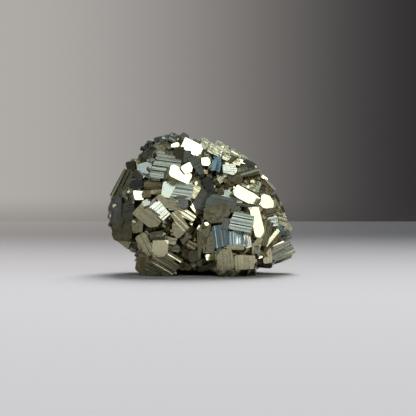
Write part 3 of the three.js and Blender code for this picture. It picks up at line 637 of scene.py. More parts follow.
@dataclass
class Mass:
    """The core's ellipsoids and the places on them.

    Two waves of noise, each a scale and a share, make it lumpy. Its brightness and blue film are
    even and low, and its rust is patchy: the amount, and how far it changes. The core shows only in
    the hollows between crystals, so its dark colour, brown included, is partly rust and partly
    painted shade.
    """

    lobes: tuple[tuple[float, ...], ...] = LOBES
    middle: Vector = field(default_factory=lambda: Vector((0.0, 1.0, 13.0)))
    lump_height: float = 0.9
    lump_waves: tuple[tuple[float, float], ...] = ((0.55, 0.7), (1.7, 0.3))
    tarnish: tuple[float, float] = (0.16, 0.12)
    rust: tuple[float, float] = (0.75, 0.9)
    rust_wave: float = 0.4
    rust_strength: float = 0.8
    surface: tuple[float, float, float, float] = (0.5, 0.5, 1.0, 0.5)

    def depth_share(self, x: float, z: float, lobe: tuple[float, ...]) -> float:
        """How far inside a lobe's outline x, z lies: 1 at its middle, 0 on its edge."""
        cx, _, cz, rx, _, rz = lobe
        return 1 - ((x - cx) / rx) ** 2 - ((z - cz) / rz) ** 2

    def front(self, x: float, z: float) -> float:
        """How deep the front of the core is.

        Args:
            x: The place across, in mm.
            z: The height, in mm.

        Returns:
            The y of the core's front there, or of the middle of the nearest lobe, in mm.
        """
        nearest, closest, edge = math.inf, -math.inf, 0.0
        for lobe in self.lobes:
            share = self.depth_share(x, z, lobe)
            if share > 0:
                nearest = min(nearest, lobe[1] - lobe[4] * math.sqrt(share))
            if share > closest:
                closest, edge = share, lobe[1]
        return min(nearest, edge)

    def skin(self, way: Vector) -> Vector:
        """The furthest point of the core from its middle.

        Args:
            way: The direction from the middle.

        Returns:
            The point, in mm.
        """
        reach = 0.0
        for cx, cy, cz, rx, ry, rz in self.lobes:
            start = self.middle - Vector((cx, cy, cz))
            start = Vector((start.x / rx, start.y / ry, start.z / rz))
            run = Vector((way.x / rx, way.y / ry, way.z / rz))
            a, b = run.length_squared, start.dot(run)
            root = b * b - a * (start.length_squared - 1)
            if root > 0:
                reach = max(reach, (math.sqrt(root) - b) / a)
        return self.middle + way * reach

    @staticmethod
    def spread(index: int, count: int) -> Vector:
        """One of many evenly spread directions.

        Args:
            index: Which one.
            count: How many there are.

        Returns:
            The direction.
        """
        height = 1 - (2 * index + 1) / count
        around = math.sqrt(1 - height * height)
        angle = index * GOLDEN_ANGLE
        return Vector((around * math.cos(angle), around * math.sin(angle), height))

    @staticmethod
    def facing(way: Vector) -> tuple[float, float]:
        """Degrees to the right of the front and above the level that a direction looks."""
        return math.degrees(math.atan2(way.x, -way.y)), math.degrees(math.asin(way.z))

    def lobe_mesh(self, number: int) -> bmesh.types.BMesh:
        """One lumpy lobe of the core.

        Args:
            number: Which lobe.

        Returns:
            Its closed mesh, in mm.
        """
        cx, cy, cz, rx, ry, rz = self.lobes[number]
        (broad, broad_share), (small, small_share) = self.lump_waves
        ball = bmesh.new()
        bmesh.ops.create_icosphere(ball, subdivisions=5 if number == 0 else 4, radius=1.0)
        bmesh.ops.scale(ball, vec=(rx, ry, rz), verts=ball.verts)
        bmesh.ops.translate(ball, vec=(cx, cy, cz), verts=ball.verts)
        middle = Vector((cx, cy, cz))
        for corner in ball.verts:
            out = (corner.co - middle).normalized()
            lumps = noise.noise(corner.co * broad) * broad_share
            lumps += noise.noise(corner.co * small) * small_share
            corner.co += out * (lumps * self.lump_height)
        ruled, film, surface = add_layers(ball)
        for face in ball.faces:
            for loop in face.loops:
                x, y, z = loop.vert.co
                # The core shows in the hollows between crystals: its dark, patchy brown is partly rust and
                # partly painted shade.
                rust = self.rust[0] + self.rust[1] * noise.noise(loop.vert.co * self.rust_wave)
                loop[ruled].uv = (z - x, 0.6 * z + x + y)
                loop[film] = (*self.tarnish, rust * self.rust_strength, 1.0)
                loop[surface] = self.surface
        return ball


@dataclass
class Growth:
    """Lays out every crystal: the front's rows, the feet, and the fill by formula.

    Sizes are in mm and turns in degrees. The large crystals' width, and their height as a share
    of it, are each the least and how much more. One that would cover a crystal of the front sinks
    by steps. Small crystals keep clear of the front's faces, bite a little into their edges, and
    are few on the smooth flank. Two zones, the left flank and the top of the upper left, are darker
    and bluer.
    """

    mass: Mass
    faces: list[tuple[Crystal, Matrix]] = field(default_factory=list)
    large_count: int = 84
    large_width: tuple[float, float] = (4.4, 3.6)
    large_height: tuple[float, float] = (0.6, 0.4)
    large_cut: float = 0.26
    large_rise: float = 0.9
    large_turn: float = 44.0
    large_ledges: tuple[Ledges, ...] = (B, B, F, S)
    large_companions: int = 3
    companion_steps: tuple[tuple[float, int], ...] = ((2.4, 5), (1.6, 2))
    sink_tries: int = 4
    sink_step: float = 0.9
    sink_margin: float = 0.8
    front_limit: float = -2.5
    crevice_x: tuple[float, float] = (-21.5, 21.5)
    crevice_z: tuple[float, float] = (0.8, 33.0)
    crevice_edge: float = 0.12
    cover_share: float = 0.55
    behind_share: float = 0.75
    least_slope: float = 0.2
    edge_bite: float = 0.25
    smooth_flank: Zone = ((-20.0, -3.0, 12.0), (6.0, 13.0, 11.0))
    flank_share: float = 0.1
    flank_grit: float = 0.4
    # Two zones, the left flank and the top of the upper left, where crystals are darker and bluer.
    weathered: tuple[Zone, ...] = (
        ((-20.0, -3.0, 13.0), (8.0, 14.0, 13.0)),
        ((-9.5, 0.0, 33.0), (9.5, 12.0, 5.5)),
    )
    weathered_bright: float = 0.35
    weathered_blue: float = 0.2
    tone_range: tuple[float, float] = (-0.05, 0.1)
    foot_cuts: tuple[float, ...] = (0.9, 1.3, 0.8, 1.1)
    foot_sink: float = -0.2
    foot_depth: float = 4.6
    large_tones: tuple[Tone, ...] = (
        Tone.KHAKI, Tone.PALE, Tone.BRIGHT, Tone.SLATE, Tone.BLUE, Tone.MOSS, Tone.OLIVE
    )
    small_tones: tuple[Tone, ...] = (
        Tone.UMBER, Tone.OLIVE, Tone.BROWN, Tone.KHAKI, Tone.OLIVE, Tone.UMBER, Tone.PALE,
        Tone.BRIGHT, Tone.NAVY
    )

    def companion_count(self, size: float, ledges: Ledges, tone: Tone) -> int:
        """How many companions a crystal of the front has.

        Args:
            size: The smaller of its width and height, in mm.
            ledges: Its ledges.
            tone: Its tarnish.

        Returns:
            The number: none on clean mirrors and worn plates, few on plain faces.
        """
        count = next((count for least, count in self.companion_steps if size > least), 0)
        if ledges is Ledges.WORN or (ledges is Ledges.PLAIN and tone is Tone.BRIGHT):
            return 0
        return count // 2 if ledges is Ledges.PLAIN else count

    def front(self) -> list[Crystal]:
        """The crystals of the front, row by row.

        Returns:
            The crystals, numbered from 0.
        """
        made = []
        for number, row in enumerate(FRONT):
            x, z, rise, right, up, roll, width, height, cuts, ledges, tone = row
            y = self.mass.front(x, z) - rise
            seen = Vector((x, 0.0, z)) - FRONT_POINT
            point = FRONT_POINT + seen * (1 + y / -FRONT_POINT.y)
            count = self.companion_count(min(width, height), ledges, tone)
            made.append(Crystal(number, placing(point, right, up, roll), width, height, cuts, ledges,
                                tone.value, companion_count=count))
        return made

    def clear_of_front(self, point: Vector, size: float, but: int = -1) -> bool:
        """Whether a crystal at a point leaves the faces of the front's crystals bare.

        Args:
            point: The middle of the crystal's outward face, in mm.
            size: Its width, in mm.
            but: The number of a crystal of the front that may be covered.

        Returns:
            True where it covers none of them.
        """
        reach = self.cover_share * size - self.edge_bite
        for crystal, back in self.faces:
            x, y, z = back @ point
            if z < -self.behind_share * size or crystal.number == but:
                continue
            away = back.to_3x3() @ Vector((0.0, 1.0, 0.0))
            along = max(0.0, z) / max(self.least_slope, -away.z)
            if abs(x + away.x * along) < crystal.width / 2 + reach:
                if abs(y + away.y * along) < crystal.height / 2 + reach:
                    return False
        return True

    def massive(self, point: Vector, number: int) -> bool:
        """Whether a point lies on the smooth flank, where few crystals show."""
        share = self.flank_share if number < FIRST_GRIT else self.flank_grit
        return within(point, self.smooth_flank) and chance(number, 70) > share

    def feet(self) -> list[Crystal]:
        """The crystals that it stands on, which look straight down.

        Returns:
            One crystal for each row of FEET.
        """
        made = []
        for number, (x, y, width, depth, turn) in enumerate(FEET, FIRST_FOOT):
            matrix = placing(Vector((x, y, self.foot_sink)), 0, -90, turn)
            made.append(Crystal(number, matrix, width, depth, self.foot_cuts, Ledges.PLAIN,
                                Tone.OLIVE.value, depth=self.foot_depth))
        return made

    def tarnish(self, number: int, point: Vector) -> tuple[float, float, float]:
        """A mixed tarnish whose brightness is partly painted shading, darker and bluer in two zones.

        Args:
            number: The crystal's number.
            point: Where it stands, in mm.

        Returns:
            Its brightness, blue film and brown film.
        """
        tone = pick(self.large_tones if number < FIRST_GRIT else self.small_tones, number, 31)
        bright, blue, brown = (v + between(number, 32, *self.tone_range) for v in tone.value)
        if any(within(point, zone) for zone in self.weathered):
            bright, blue = bright * self.weathered_bright, blue + self.weathered_blue
        return min(1.0, max(0.0, bright)), max(0.0, blue), max(0.0, brown)

    def rest(self) -> list[Crystal]:
        """The large crystals over the back, sides, top and underside.

        Returns:
            The crystals, each sunk until it leaves the front's bare.
        """
        made = []
        for i in range(self.large_count):
            way = self.mass.spread(i, self.large_count)
            point = self.mass.skin(way)
            if point.y < self.front_limit or within(point, self.smooth_flank):
                continue
            right, up = self.mass.facing(way)
            width = self.large_width[0] + self.large_width[1] * chance(i, 1)
            height = width * (self.large_height[0] + self.large_height[1] * chance(i, 2))
            point = point + way * (self.large_rise * chance(i, 9))
            for _ in range(self.sink_tries):
                if not self.clear_of_front(point, width * self.sink_margin):
                    point = point - way * self.sink_step
            right += self.large_turn * (chance(i, 3) - 0.5)
            up += self.large_turn * (chance(i, 4) - 0.5)
            made.append(Crystal(
                FIRST_LARGE + i, placing(point, right, up, FULL_TURN * chance(i, 10)), width, height,
                corner_cuts(i, width * self.large_cut, 5), pick(self.large_ledges, i, 11),
                self.tarnish(FIRST_LARGE + i, point), companion_count=self.large_companions,
            ))
        return made

    def small(self, kind: Kind, number: int, point: Vector, facing: tuple[float, float]) -> list[Crystal]:
        """One small crystal, if there is room for it.

        Args:
            kind: What it is like.
            number: Its number.
            point: The middle of its outward face, in mm.
            facing: How the core faces there, as degrees to the right and up.

        Returns:
            The crystal, or nothing on the smooth flank or in front of a crystal of the front.
        """
        width = between(number, 1, *kind.width)
        if self.massive(point, number) or not self.clear_of_front(point, width):
            return []
        right = facing[0] + between(number, 3, *kind.right)
        up = facing[1] + between(number, 4, *kind.up)
        matrix = placing(point, right, up, FULL_TURN * chance(number, 10))
        height = width * between(number, 2, *kind.slimness)
        cuts = corner_cuts(number, width * kind.cut, 5)
        ledges = pick(kind.ledges, number, 11)
        return [Crystal(number, matrix, width, height, cuts, ledges, self.tarnish(number, point))]

    def spread_over(self, kind: Kind, front_limit: float) -> list[Crystal]:
        """Small crystals spread evenly over the core.

        Args:
            kind: What they are like.
            front_limit: Where they stop towards the front, in mm.

        Returns:
            Those that there is room for.
        """
        made = []
        for i in range(kind.count):
            way = self.mass.spread(i, kind.count)
            point = self.mass.skin(way)
            if point.y < front_limit:
                continue
            point = point + way * between(kind.first + i, 9, *kind.rise)
            made += self.small(kind, kind.first + i, point, self.mass.facing(way))
        return made

    def crevices(self) -> list[Crystal]:
        """Small crystals deep between the large ones of the front.

        Returns:
            Those that there is room for.
        """
        made = []
        for number in range(CREVICE.first, CREVICE.first + CREVICE.count):
            x = between(number, 20, *self.crevice_x)
            z = between(number, 21, *self.crevice_z)
            if max(self.mass.depth_share(x, z, lobe) for lobe in self.mass.lobes) < self.crevice_edge:
                continue
            y = self.mass.front(x, z) - between(number, 22, *CREVICE.rise)
            made += self.small(CREVICE, number, Vector((x, y, z)), (0.0, 0.0))
        return made

    def crystals(self) -> list[Crystal]:
        """All crystals.

        Returns:
            The large ones, their companions, and the small ones in the gaps.
        """
        front = self.front()
        self.faces = [(crystal, crystal.matrix.inverted()) for crystal in front]
        large = [*front, *self.feet(), *self.rest()]
        beside = [
            small for crystal in large for small in crystal.companions()
            if self.clear_of_front(small.matrix.translation, small.width, crystal.number)
        ]
        middling = self.spread_over(MIDDLING, self.front_limit)
        grit = self.spread_over(GRIT, -math.inf)
        return [*large, *beside, *middling, *grit, *self.crevices()]


class Sock:
    """A shader socket with arithmetic."""

    def __init__(self, shader: "Shader", socket: bpy.types.NodeSocket) -> None:
        """Keeps the shader and the socket."""
        self.shader = shader
        self.socket = socket

    def _math(self, operation: str, *values: "Sock | float") -> "Sock":
        """One Math node on these values."""
        return self.shader.node("ShaderNodeMath", {"operation": operation}, *values)

    def __add__(self, other: "Sock | float") -> "Sock":
        """Sum."""
        return self._math("ADD", self, other)

    def __rsub__(self, other: float) -> "Sock":
        """Difference from a number."""
        return self._math("SUBTRACT", other, self)

    def __mul__(self, other: "Sock | float") -> "Sock":
        """Product."""
        return self._math("MULTIPLY", self, other)

    __radd__ = __add__
    __rmul__ = __mul__

    def beside(self, output: int | str) -> "Sock":
        """Another output of the same node."""
        return Sock(self.shader, self.socket.node.outputs[output])

    def ramp(self, low: float, high: float, to_low: float = 0.0, to_high: float = 1.0) -> "Sock":
        """This value's place between low and high, eased and clamped."""
        settings = {"interpolation_type": "SMOOTHSTEP"}
        return self.shader.node("ShaderNodeMapRange", settings, self, low, high, to_low, to_high)


class Shader:
    """Builds one node tree."""

    def __init__(self, tree: bpy.types.NodeTree) -> None:
        """Empties the tree."""
        self.tree = tree
        tree.nodes.clear()

    def node(self, kind: str, settings: dict | None = None, *values: object,
             out: int | str = 0, **named: object) -> Sock:
        """Adds a node.

        Args:
            kind: The node's type.
            settings: Its properties, set first.
            values: What goes into its first sockets, in order: links, numbers or colours.
            out: The output that is returned.
            named: What goes into sockets by name, with _ for a space.

        Returns:
            The chosen output.
        """
        made = self.tree.nodes.new(kind)
        for name, value in (settings or {}).items():
            setattr(made, name, value)
        pairs = [(made.inputs[i], v) for i, v in enumerate(values)]
        pairs += [(made.inputs[name.replace("_", " ")], v) for name, v in named.items()]
        for socket, value in pairs:
            if isinstance(value, Sock):
                self.tree.links.new(value.socket, socket)
            elif value is not None:
                socket.default_value = value
        return Sock(self, made.outputs[out]) if len(made.outputs) else Sock(self, made.inputs[0])

    def noise(self, place: Sock, scale: float, detail: float, rough: float) -> Sock:
        """A Noise texture's value."""
        return self.node("ShaderNodeTexNoise", None, place, Scale=scale, Detail=detail, Roughness=rough)

    def layer(self, name: str) -> tuple[Sock, Sock, Sock, Sock]:
        """A colour attribute's parts.

        Args:
            name: The attribute's name.

        Returns:
            Its red, green, blue and alpha.
        """
        colour = self.node("ShaderNodeAttribute", {"attribute_name": name})
        red = self.node("ShaderNodeSeparateColor", None, colour)
        return red, red.beside(1), red.beside(2), colour.beside("Alpha")

    def blend(self, share: Sock | float, low: object, high: object) -> Sock:
        """Mixes two colours.

        Args:
            share: How much of the second colour there is, from 0 to 1.
            low: The first colour.
            high: The second colour.

        Returns:
            The mixed colour.
        """
        made = self.tree.nodes.new("ShaderNodeMix")
        made.data_type = "RGBA"
        for index, value in ((0, share), (6, low), (7, high)):
            if isinstance(value, Sock):
                self.tree.links.new(value.socket, made.inputs[index])
            else:
                made.inputs[index].default_value = value
        return Sock(self, made.outputs[2])


@dataclass(frozen=True)
class Surface:
    """What the finish reads at a place on the surface, mostly from 0 to 1.

    Brightness, blue film and brown film, which carry tarnish, rust and painted shading; how strong
    the growth lines are, how dull and how grainy it is; the swell, broad lines and fine lines of
    growth; and clouds, worn patches and specks.
    """

    bright: Sock
    blue: Sock
    brown: Sock
    strength: Sock
    dull: Sock
    grain: Sock
    swell: Sock
    wide: Sock
    thin: Sock
    cloud: Sock
    patch: Sock
    specks: Sock


@dataclass(frozen=True)
class PyriteFinish:
    """The look of pyrite: brassy metal with growth lines, thin tarnish films, and hollows that are rusty
    and darkened with painted shade.

    Scales are in waves to the metre. Growth lines have a stretch along them, a spacing across them
    and a shift from crystal to crystal; in the colour they are painted shade under the ledges, with
    painted highlight between them. Pairs are the least and how much more. The other numbers say how
    far a pattern changes the colour or the roughness.
    """

    slot: str = "pyrite"
    brass: tuple[float, ...] = (0.66, 0.62, 0.38, 1.0)
    dark: tuple[float, ...] = (0.10, 0.096, 0.06, 1.0)
    blue: tuple[float, ...] = (0.47, 0.53, 0.55, 1.0)
    indigo: tuple[float, ...] = (0.19, 0.28, 0.32, 1.0)
    brown: tuple[float, ...] = (0.17, 0.12, 0.05, 1.0)
    cloud_scale: float = 260.0
    patch_scale: float = 900.0
    speck_scale: float = 2400.0
    broad_lines: tuple[float, float, float] = (0.05, 2.2, 40)
    fine_lines: tuple[float, float, float] = (0.12, 7.0, 90)
    glow: float = 1.12
    line_shadow: float = 0.7
    speck_shade: tuple[float, float] = (0.86, 0.28)
    film_lines: tuple[float, float] = (0.35, 0.65)
    indigo_lines: tuple[float, float] = (0.6, 0.4)
    wear: float = 0.65
    haze: float = 0.36
    rust: float = 0.22
    polish: float = 0.12
    rough_clouds: float = 0.10
    rough_dull: float = 0.12
    rough_rust: float = 0.18
    rough_grain: float = 0.12
    relief_strength: float = 0.6
    relief_depth: float = 0.00006

    def material(self) -> bpy.types.Material:
        """The material for all the crystals.

        Returns:
            The material, named for its slot.
        """
        made = bpy.data.materials.new(self.slot)
        made.use_nodes = True
        s = Shader(made.node_tree)
        read = self.read(s)
        # The brown carries rust in patches and painted shade in the hollows.
        brown = read.brown + read.patch.ramp(0.48, 0.34, 0.0, self.rust)
        rust_and_shade = brown.ramp(0.0, 1.0)
        bump = s.node(
            "ShaderNodeBump", None,
            Strength=self.relief_strength, Distance=self.relief_depth, Height=self.relief(read),
        )
        metal = s.node(
            "ShaderNodeBsdfPrincipled", None,
            Base_Color=self.colour(s, read, rust_and_shade),
            Metallic=1.0,
            Roughness=self.roughness(read, rust_and_shade),
            Normal=bump,
        )
        s.node("ShaderNodeOutputMaterial", None, metal)
        return made

    def read(self, s: Shader) -> Surface:
        """Reads the attributes and the patterns.

        Args:
            s: The material's shader.

        Returns:
            The values that the finish is made of.
        """
        bright, blue, brown, _ = s.layer("tarnish")
        strength, dull, grain, seed = s.layer("surface")
        swell, wide, thin = self.lines(s, seed)
        place = s.node("ShaderNodeTexCoord", out="Object")
        cloud = s.noise(place, self.cloud_scale, 3.0, 0.6)
        patch = s.noise(place, self.patch_scale, 3.0, 0.65)
        specks = s.noise(place, self.speck_scale, 2.0, 0.6).ramp(0.3, 0.7)
        return Surface(bright, blue, brown, strength, dull, grain, swell, wide, thin, cloud, patch, specks)

    def colour(self, s: Shader, read: Surface, rust_and_shade: Sock) -> Sock:
        """The metal under its films, with painted shade and highlight along the growth lines.

        Args:
            s: The material's shader.
            read: The values of the surface.
            rust_and_shade: How strong the rust and the painted shade of the hollows are.

        Returns:
            The colour.
        """
        # Painted shade and highlight: growth lines darken the colour where the ledges' undercuts would be
        # in shadow, and lift the rest a little above the crystal's tone.
        shadow = read.strength * (1 - (read.wide * 0.6 + read.thin * 0.4))
        worn = 1 - read.grain * read.patch.ramp(0.58, 0.42, 0.0, self.wear)
        (shade_least, shade_range), (film_least, film_range) = self.speck_shade, self.film_lines
        deep_least, deep_range = self.indigo_lines
        shade = read.bright * (self.glow - self.line_shadow * shadow)
        shade = shade * (shade_least + shade_range * read.specks) * worn
        film = read.blue * (film_least + film_range * read.wide) * read.cloud.ramp(0.3, 0.55, 0.5, 1.0)
        film = film + read.bright * read.patch.ramp(0.52, 0.66, 0.0, self.haze)
        colour = s.blend(shade, self.dark, self.brass)
        colour = s.blend(film, colour, self.blue)
        deep = read.blue.ramp(0.7, 1.0) * (deep_least + deep_range * read.wide)
        colour = s.blend(deep, colour, self.indigo)
        return s.blend(rust_and_shade * read.specks.ramp(-0.3, 1.0, 0.4, 1.0), colour, self.brown)

    def roughness(self, read: Surface, rust_and_shade: Sock) -> Sock:
        """How rough the metal is: least on clean mirrors and most where rust and painted shade are
        strongest.
        """
        clean = self.polish + self.rough_clouds * read.cloud + self.rough_dull * read.dull
        return clean + self.rough_rust * rust_and_shade + self.rough_grain * read.grain

    @staticmethod
    def relief(read: Surface) -> Sock:
        """The height of the finest growth lines, pits and grains."""
        lines = (read.swell * 2.4 + read.wide * 0.4 + read.thin * 0.5) * read.strength
        return lines + read.cloud * 0.8 + read.specks * (0.1 + 0.5 * read.grain)

    def lines(self, s: Shader, seed: Sock) -> tuple[Sock, Sock, Sock]:
        """The growth lines, which run along a face.

        Args:
            s: The material's shader.
            seed: A number that differs from crystal to crystal.

        Returns:
            The swell, the broad lines and the fine lines.
        """
        along = s.node("ShaderNodeSeparateXYZ", None, s.node("ShaderNodeUVMap", {"uv_map": "growth"}))
        across = along.beside(1)
        broad, fine = (
            s.node("ShaderNodeCombineXYZ", None, along * stretch, across * spacing, seed * shift)
            for stretch, spacing, shift in (self.broad_lines, self.fine_lines)
        )
        wide = s.noise(broad, 1.0, 1.0, 0.5)
        thin = s.noise(fine, 1.0, 2.0, 0.6)
        return wide, wide.ramp(0.38, 0.62), thin.ramp(0.3, 0.7)


@dataclass
class Specimen:
    """The whole mass, fused from its core and crystals. Sizes are in mm."""

    mass: Mass
    finish: PyriteFinish
    name: str = "Crystal_mass"
    ground_size: float = 100.0
    merge: float = 0.0001

    @staticmethod
    def keep(block: bmesh.types.BMesh, name: str, holder: bpy.types.Collection) -> bpy.types.Object:
        """Makes an object of a mesh and frees the mesh.

        Args:
            block: The mesh.
            name: The object's name.
            holder: The collection that it goes into.

        Returns:
            The object.
        """
        mesh = bpy.data.meshes.new(name)
        block.to_mesh(mesh)
        block.free()
        made = bpy.data.objects.new(name, mesh)
        holder.objects.link(made)
        return made

    def ground(self) -> bmesh.types.BMesh:
        """A block whose top is the plane that the mass stands on.

        Returns:
            Its mesh, in mm.
        """
        under = bmesh.new()
        bmesh.ops.create_cube(under, size=self.ground_size)
        bmesh.ops.translate(under, vec=(0, 0, -self.ground_size / 2), verts=under.verts)
        add_layers(under)
        return under

    def fused(self) -> bpy.types.Mesh:
        """The union of core and crystals, cut flat where it stands.

        Returns:
            The mesh, in mm.
        """
        scene = bpy.context.scene
        holder = bpy.data.collections.new("Growing")
        scene.collection.children.link(holder)
        for crystal in Growth(self.mass).crystals():
            self.keep(crystal.block(), "Crystal", holder)
        last = len(self.mass.lobes) - 1
        for number in range(last):
            self.keep(self.mass.lobe_mesh(number), "Lobe", holder)
        core = self.keep(self.mass.lobe_mesh(last), "Core", scene.collection)
        ground = self.keep(self.ground(), "Ground", scene.collection)
        join = core.modifiers.new("Join", "BOOLEAN")
        join.operation, join.solver = "UNION", "MANIFOLD"
        join.operand_type, join.collection = "COLLECTION", holder
        level = core.modifiers.new("Level", "BOOLEAN")
        level.operation, level.solver, level.object = "DIFFERENCE", "MANIFOLD", ground
        evaluated = core.evaluated_get(bpy.context.evaluated_depsgraph_get())
        mesh = bpy.data.meshes.new_from_object(evaluated)
        for piece in [*holder.objects, core, ground]:
            bpy.data.meshes.remove(piece.data)
        bpy.data.collections.remove(holder)
        return mesh

    @staticmethod
    def islands(block: bmesh.types.BMesh) -> list[list[bmesh.types.BMVert]]:
        """The parts of a mesh that aren't joined.

        Args:
            block: The mesh.

        Returns:
            The corners of each part, the smallest part first.
        """
        seen: set[bmesh.types.BMVert] = set()
        parts = []
        for start in block.verts:
            if start in seen:
                continue
            seen.add(start)
            part, waiting = [start], [start]
            while waiting:
                for edge in waiting.pop().link_edges:
                    for corner in edge.verts:
                        if corner not in seen:
                            seen.add(corner)
                            part.append(corner)
                            waiting.append(corner)
            parts.append(part)
        return sorted(parts, key=len)

    def clean(self, mesh: bpy.types.Mesh) -> None:
        """Merges doubles, drops loose specks and brings the mesh to metres.

        Args:
            mesh: The fused mesh, in mm.
        """
        block = bmesh.new()
        block.from_mesh(mesh)
        bmesh.ops.remove_doubles(block, verts=block.verts, dist=self.merge)
        bmesh.ops.triangulate(block, faces=block.faces)
        *specks, _ = self.islands(block)
        loose = [corner for speck in specks for corner in speck]
        bmesh.ops.delete(block, geom=loose, context="VERTS")
        bmesh.ops.scale(block, vec=(MM, MM, MM), verts=block.verts)
        block.to_mesh(mesh)
        open_edges = sum(1 for edge in block.edges if not edge.is_manifold)
        logging.info("mass: %d open edges, %d specks dropped", open_edges, len(specks))
        block.free()

    def build(self) -> bpy.types.Object:
        """Returns:
            The finished piece.
        """
        mesh = self.fused()
        self.clean(mesh)
        mesh.name = self.name
        mesh.materials.clear()
        mesh.materials.append(self.finish.material())
        piece = bpy.data.objects.new(self.name, mesh)
        bpy.context.scene.collection.objects.link(piece)
        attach(piece, "root")
        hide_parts("pyrite_cluster")
        return piece


@dataclass(frozen=True)
class Lamp:
    """A soft rectangular light that looks at the specimen.

    The direction from the specimen to the light, its distance, and its width and height in
    metres; its power in watts; its colour; and whether it shines on the metal rather than on the
    floor.
    """

    name: str
    towards: tuple[float, float, float]
    distance: float
    size: tuple[float, float]
    power: float
    colour: tuple[float, float, float]
    mirrored: bool = True
    target: tuple[float, float, float] = (0.0, 0.0, 0.015)

    def build(self) -> None:
        """Adds the light."""
        data = bpy.data.lights.new(self.name, "AREA")
        data.shape = "RECTANGLE"
        data.size, data.size_y = self.size
        data.energy = self.power
        data.color = self.colour
        made = bpy.data.objects.new(self.name, data)
        way = Vector(self.towards).normalized()
        made.location = way * self.distance + Vector(self.target)
        made.rotation_euler = way.to_track_quat("Z", "Y").to_euler()
        made.visible_camera = False
        made.visible_glossy = self.mirrored
        made.visible_diffuse = not self.mirrored
        bpy.context.scene.collection.objects.link(made)


@dataclass(frozen=True)
class PaleFinish:
    """The floor's matt grey: pale near the specimen, and darker far behind it and to the right, painted
    shade where less light reaches the far floor.

    The colours change between two places across the floor and two away from the eye, in metres.
    """

    name: str = "Floor"
    near: tuple[float, ...] = (0.525, 0.515, 0.51, 1.0)
    far_left: tuple[float, ...] = (0.17, 0.155, 0.142, 1.0)
    far_right: tuple[float, ...] = (0.042, 0.041, 0.042, 1.0)
    across: tuple[float, float] = (-0.12, 0.12)
    away: tuple[float, float] = (-0.12, 0.31)
    roughness: float = 0.7

    def material(self) -> bpy.types.Material:
        """The floor's material.

        Returns:
            The material.
        """
        made = bpy.data.materials.new(self.name)
        made.use_nodes = True
        s = Shader(made.node_tree)
        x = s.node("ShaderNodeSeparateXYZ", None, s.node("ShaderNodeTexCoord", out="Object"))
        far = s.blend(x.ramp(*self.across), self.far_left, self.far_right)
        colour = s.blend(x.beside(1).ramp(*self.away), self.near, far)
        shade = s.node("ShaderNodeBsdfPrincipled", None, Base_Color=colour, Roughness=self.roughness)
        s.node("ShaderNodeOutputMaterial", None, shade)
        return made


@dataclass(frozen=True)
class Surround:
    """The plain grey all round the specimen, which lights nothing but the metal.

    Pairs of numbers are where one colour starts to give way to the next and where it has, as
    shares of a direction.
    """

    left: tuple[float, ...] = (0.43, 0.405, 0.385, 1.0)
    right: tuple[float, ...] = (0.032, 0.030, 0.031, 1.0)
    low_left: tuple[float, ...] = (0.31, 0.29, 0.27, 1.0)
    low_right: tuple[float, ...] = (0.038, 0.035, 0.036, 1.0)
    front: tuple[float, ...] = (0.062, 0.066, 0.062, 1.0)
    overhead: tuple[float, ...] = (0.50, 0.60, 0.66, 1.0)
    across: tuple[float, float] = (-0.13, 0.135)
    horizon: tuple[float, float] = (-0.027, -0.008)
    overhead_from: tuple[float, float] = (0.22, 0.62)
    back_from: tuple[float, float] = (0.55, 0.95)
    back_top: tuple[float, float] = (0.2, 0.5)

    def build(self) -> None:
        """Sets the world: lighter at the back left, dim in front and pale blue overhead."""
        world = bpy.data.worlds.new("Surround")
        world.use_nodes = True
        world.cycles_visibility.diffuse = False
        bpy.context.scene.world = world
        s = Shader(world.node_tree)
        x = s.node("ShaderNodeSeparateXYZ", None, s.node("ShaderNodeTexCoord", out="Generated"))
        y, z = x.beside(1), x.beside(2)
        back = s.blend(x.ramp(*self.across), self.left, self.right)
        low = s.blend(x.ramp(*self.across), self.low_left, self.low_right)
        back = s.blend(z.ramp(*self.horizon), low, back)
        around = s.blend(z.ramp(*self.overhead_from), self.front, self.overhead)
        behind = y.ramp(*self.back_from) * (1 - z.ramp(*self.back_top))
        shade = s.node("ShaderNodeBackground", None, s.blend(behind, around, back), 1.0)
        s.node("ShaderNodeOutputWorld", None, shade)


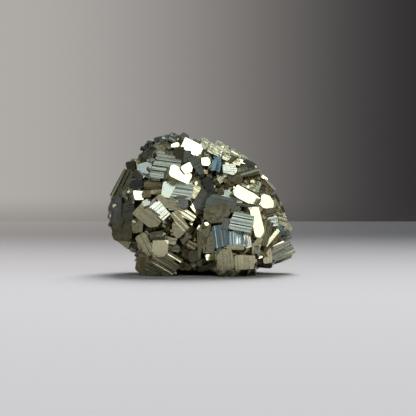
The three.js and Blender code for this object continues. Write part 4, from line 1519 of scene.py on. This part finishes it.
@dataclass
class Studio:
    """The camera, the pale floor and the soft lights.

    The eye, lens and sensor are in mm, the pitch in degrees, and the rest in metres.
    """

    eye: tuple[float, float, float] = (1.64, -400.0, 22.6)
    pitch: float = -0.97
    lens: float = 142.7
    sensor: float = 36.0
    clip: tuple[float, float] = (0.01, 20.0)
    floor_half: tuple[float, float] = (2.0, 0.75)
    floor_forward: float = 0.25
    lamps: tuple[Lamp, ...] = (
        Lamp("Window", (0.75, -0.42, 0.50), 0.7, (0.54, 0.58), 3.1, (0.95, 0.98, 1.0)),
        Lamp("Overhead", (-0.15, -0.35, 0.93), 0.7, (0.55, 0.35), 0.6, (0.86, 0.95, 1.0)),
        Lamp("Ceiling", (0.12, 0.65, 0.75), 2.0, (1.1, 1.1), 72.0, (0.99, 0.97, 1.0), False),
        Lamp("Fill", (0.0, -0.5, 0.87), 1.5, (1.2, 1.2), 4.5, (0.95, 0.97, 1.0), False),
    )

    def camera(self) -> None:
        """Sets the camera in front of the specimen."""
        data = bpy.data.cameras.new("Camera")
        data.lens = self.lens
        data.sensor_width = self.sensor
        data.clip_start, data.clip_end = self.clip
        made = bpy.data.objects.new("Camera", data)
        made.location = [v * MM for v in self.eye]
        made.rotation_euler = (math.radians(90 + self.pitch), 0, 0)
        bpy.context.scene.collection.objects.link(made)
        bpy.context.scene.camera = made

    def floor(self) -> None:
        """Lays a plain pale floor."""
        block = bmesh.new()
        bmesh.ops.create_grid(block, x_segments=1, y_segments=1, size=1.0)
        bmesh.ops.scale(block, vec=(*self.floor_half, 1.0), verts=block.verts)
        bmesh.ops.translate(block, vec=(0, -self.floor_forward, 0), verts=block.verts)
        mesh = bpy.data.meshes.new("Floor")
        block.to_mesh(mesh)
        block.free()
        mesh.materials.append(PaleFinish().material())
        made = bpy.data.objects.new("Floor", mesh)
        bpy.context.scene.collection.objects.link(made)

    def build(self) -> None:
        """Sets up everything but the specimen."""
        self.camera()
        self.floor()
        for lamp in self.lamps:
            lamp.build()
        Surround().build()
        view = bpy.context.scene.view_settings
        view.view_transform = "Standard"
        view.look = "None"


def main() -> None:
    """Builds the studio and the specimen and reports on them."""
    logging.basicConfig(level=logging.INFO, format="%(message)s")
    Studio().build()
    piece = Specimen(Mass(), PyriteFinish()).build()
    logging.info("%s: %d faces", piece.name, len(piece.data.polygons))


if __name__ == "__main__":
    main()
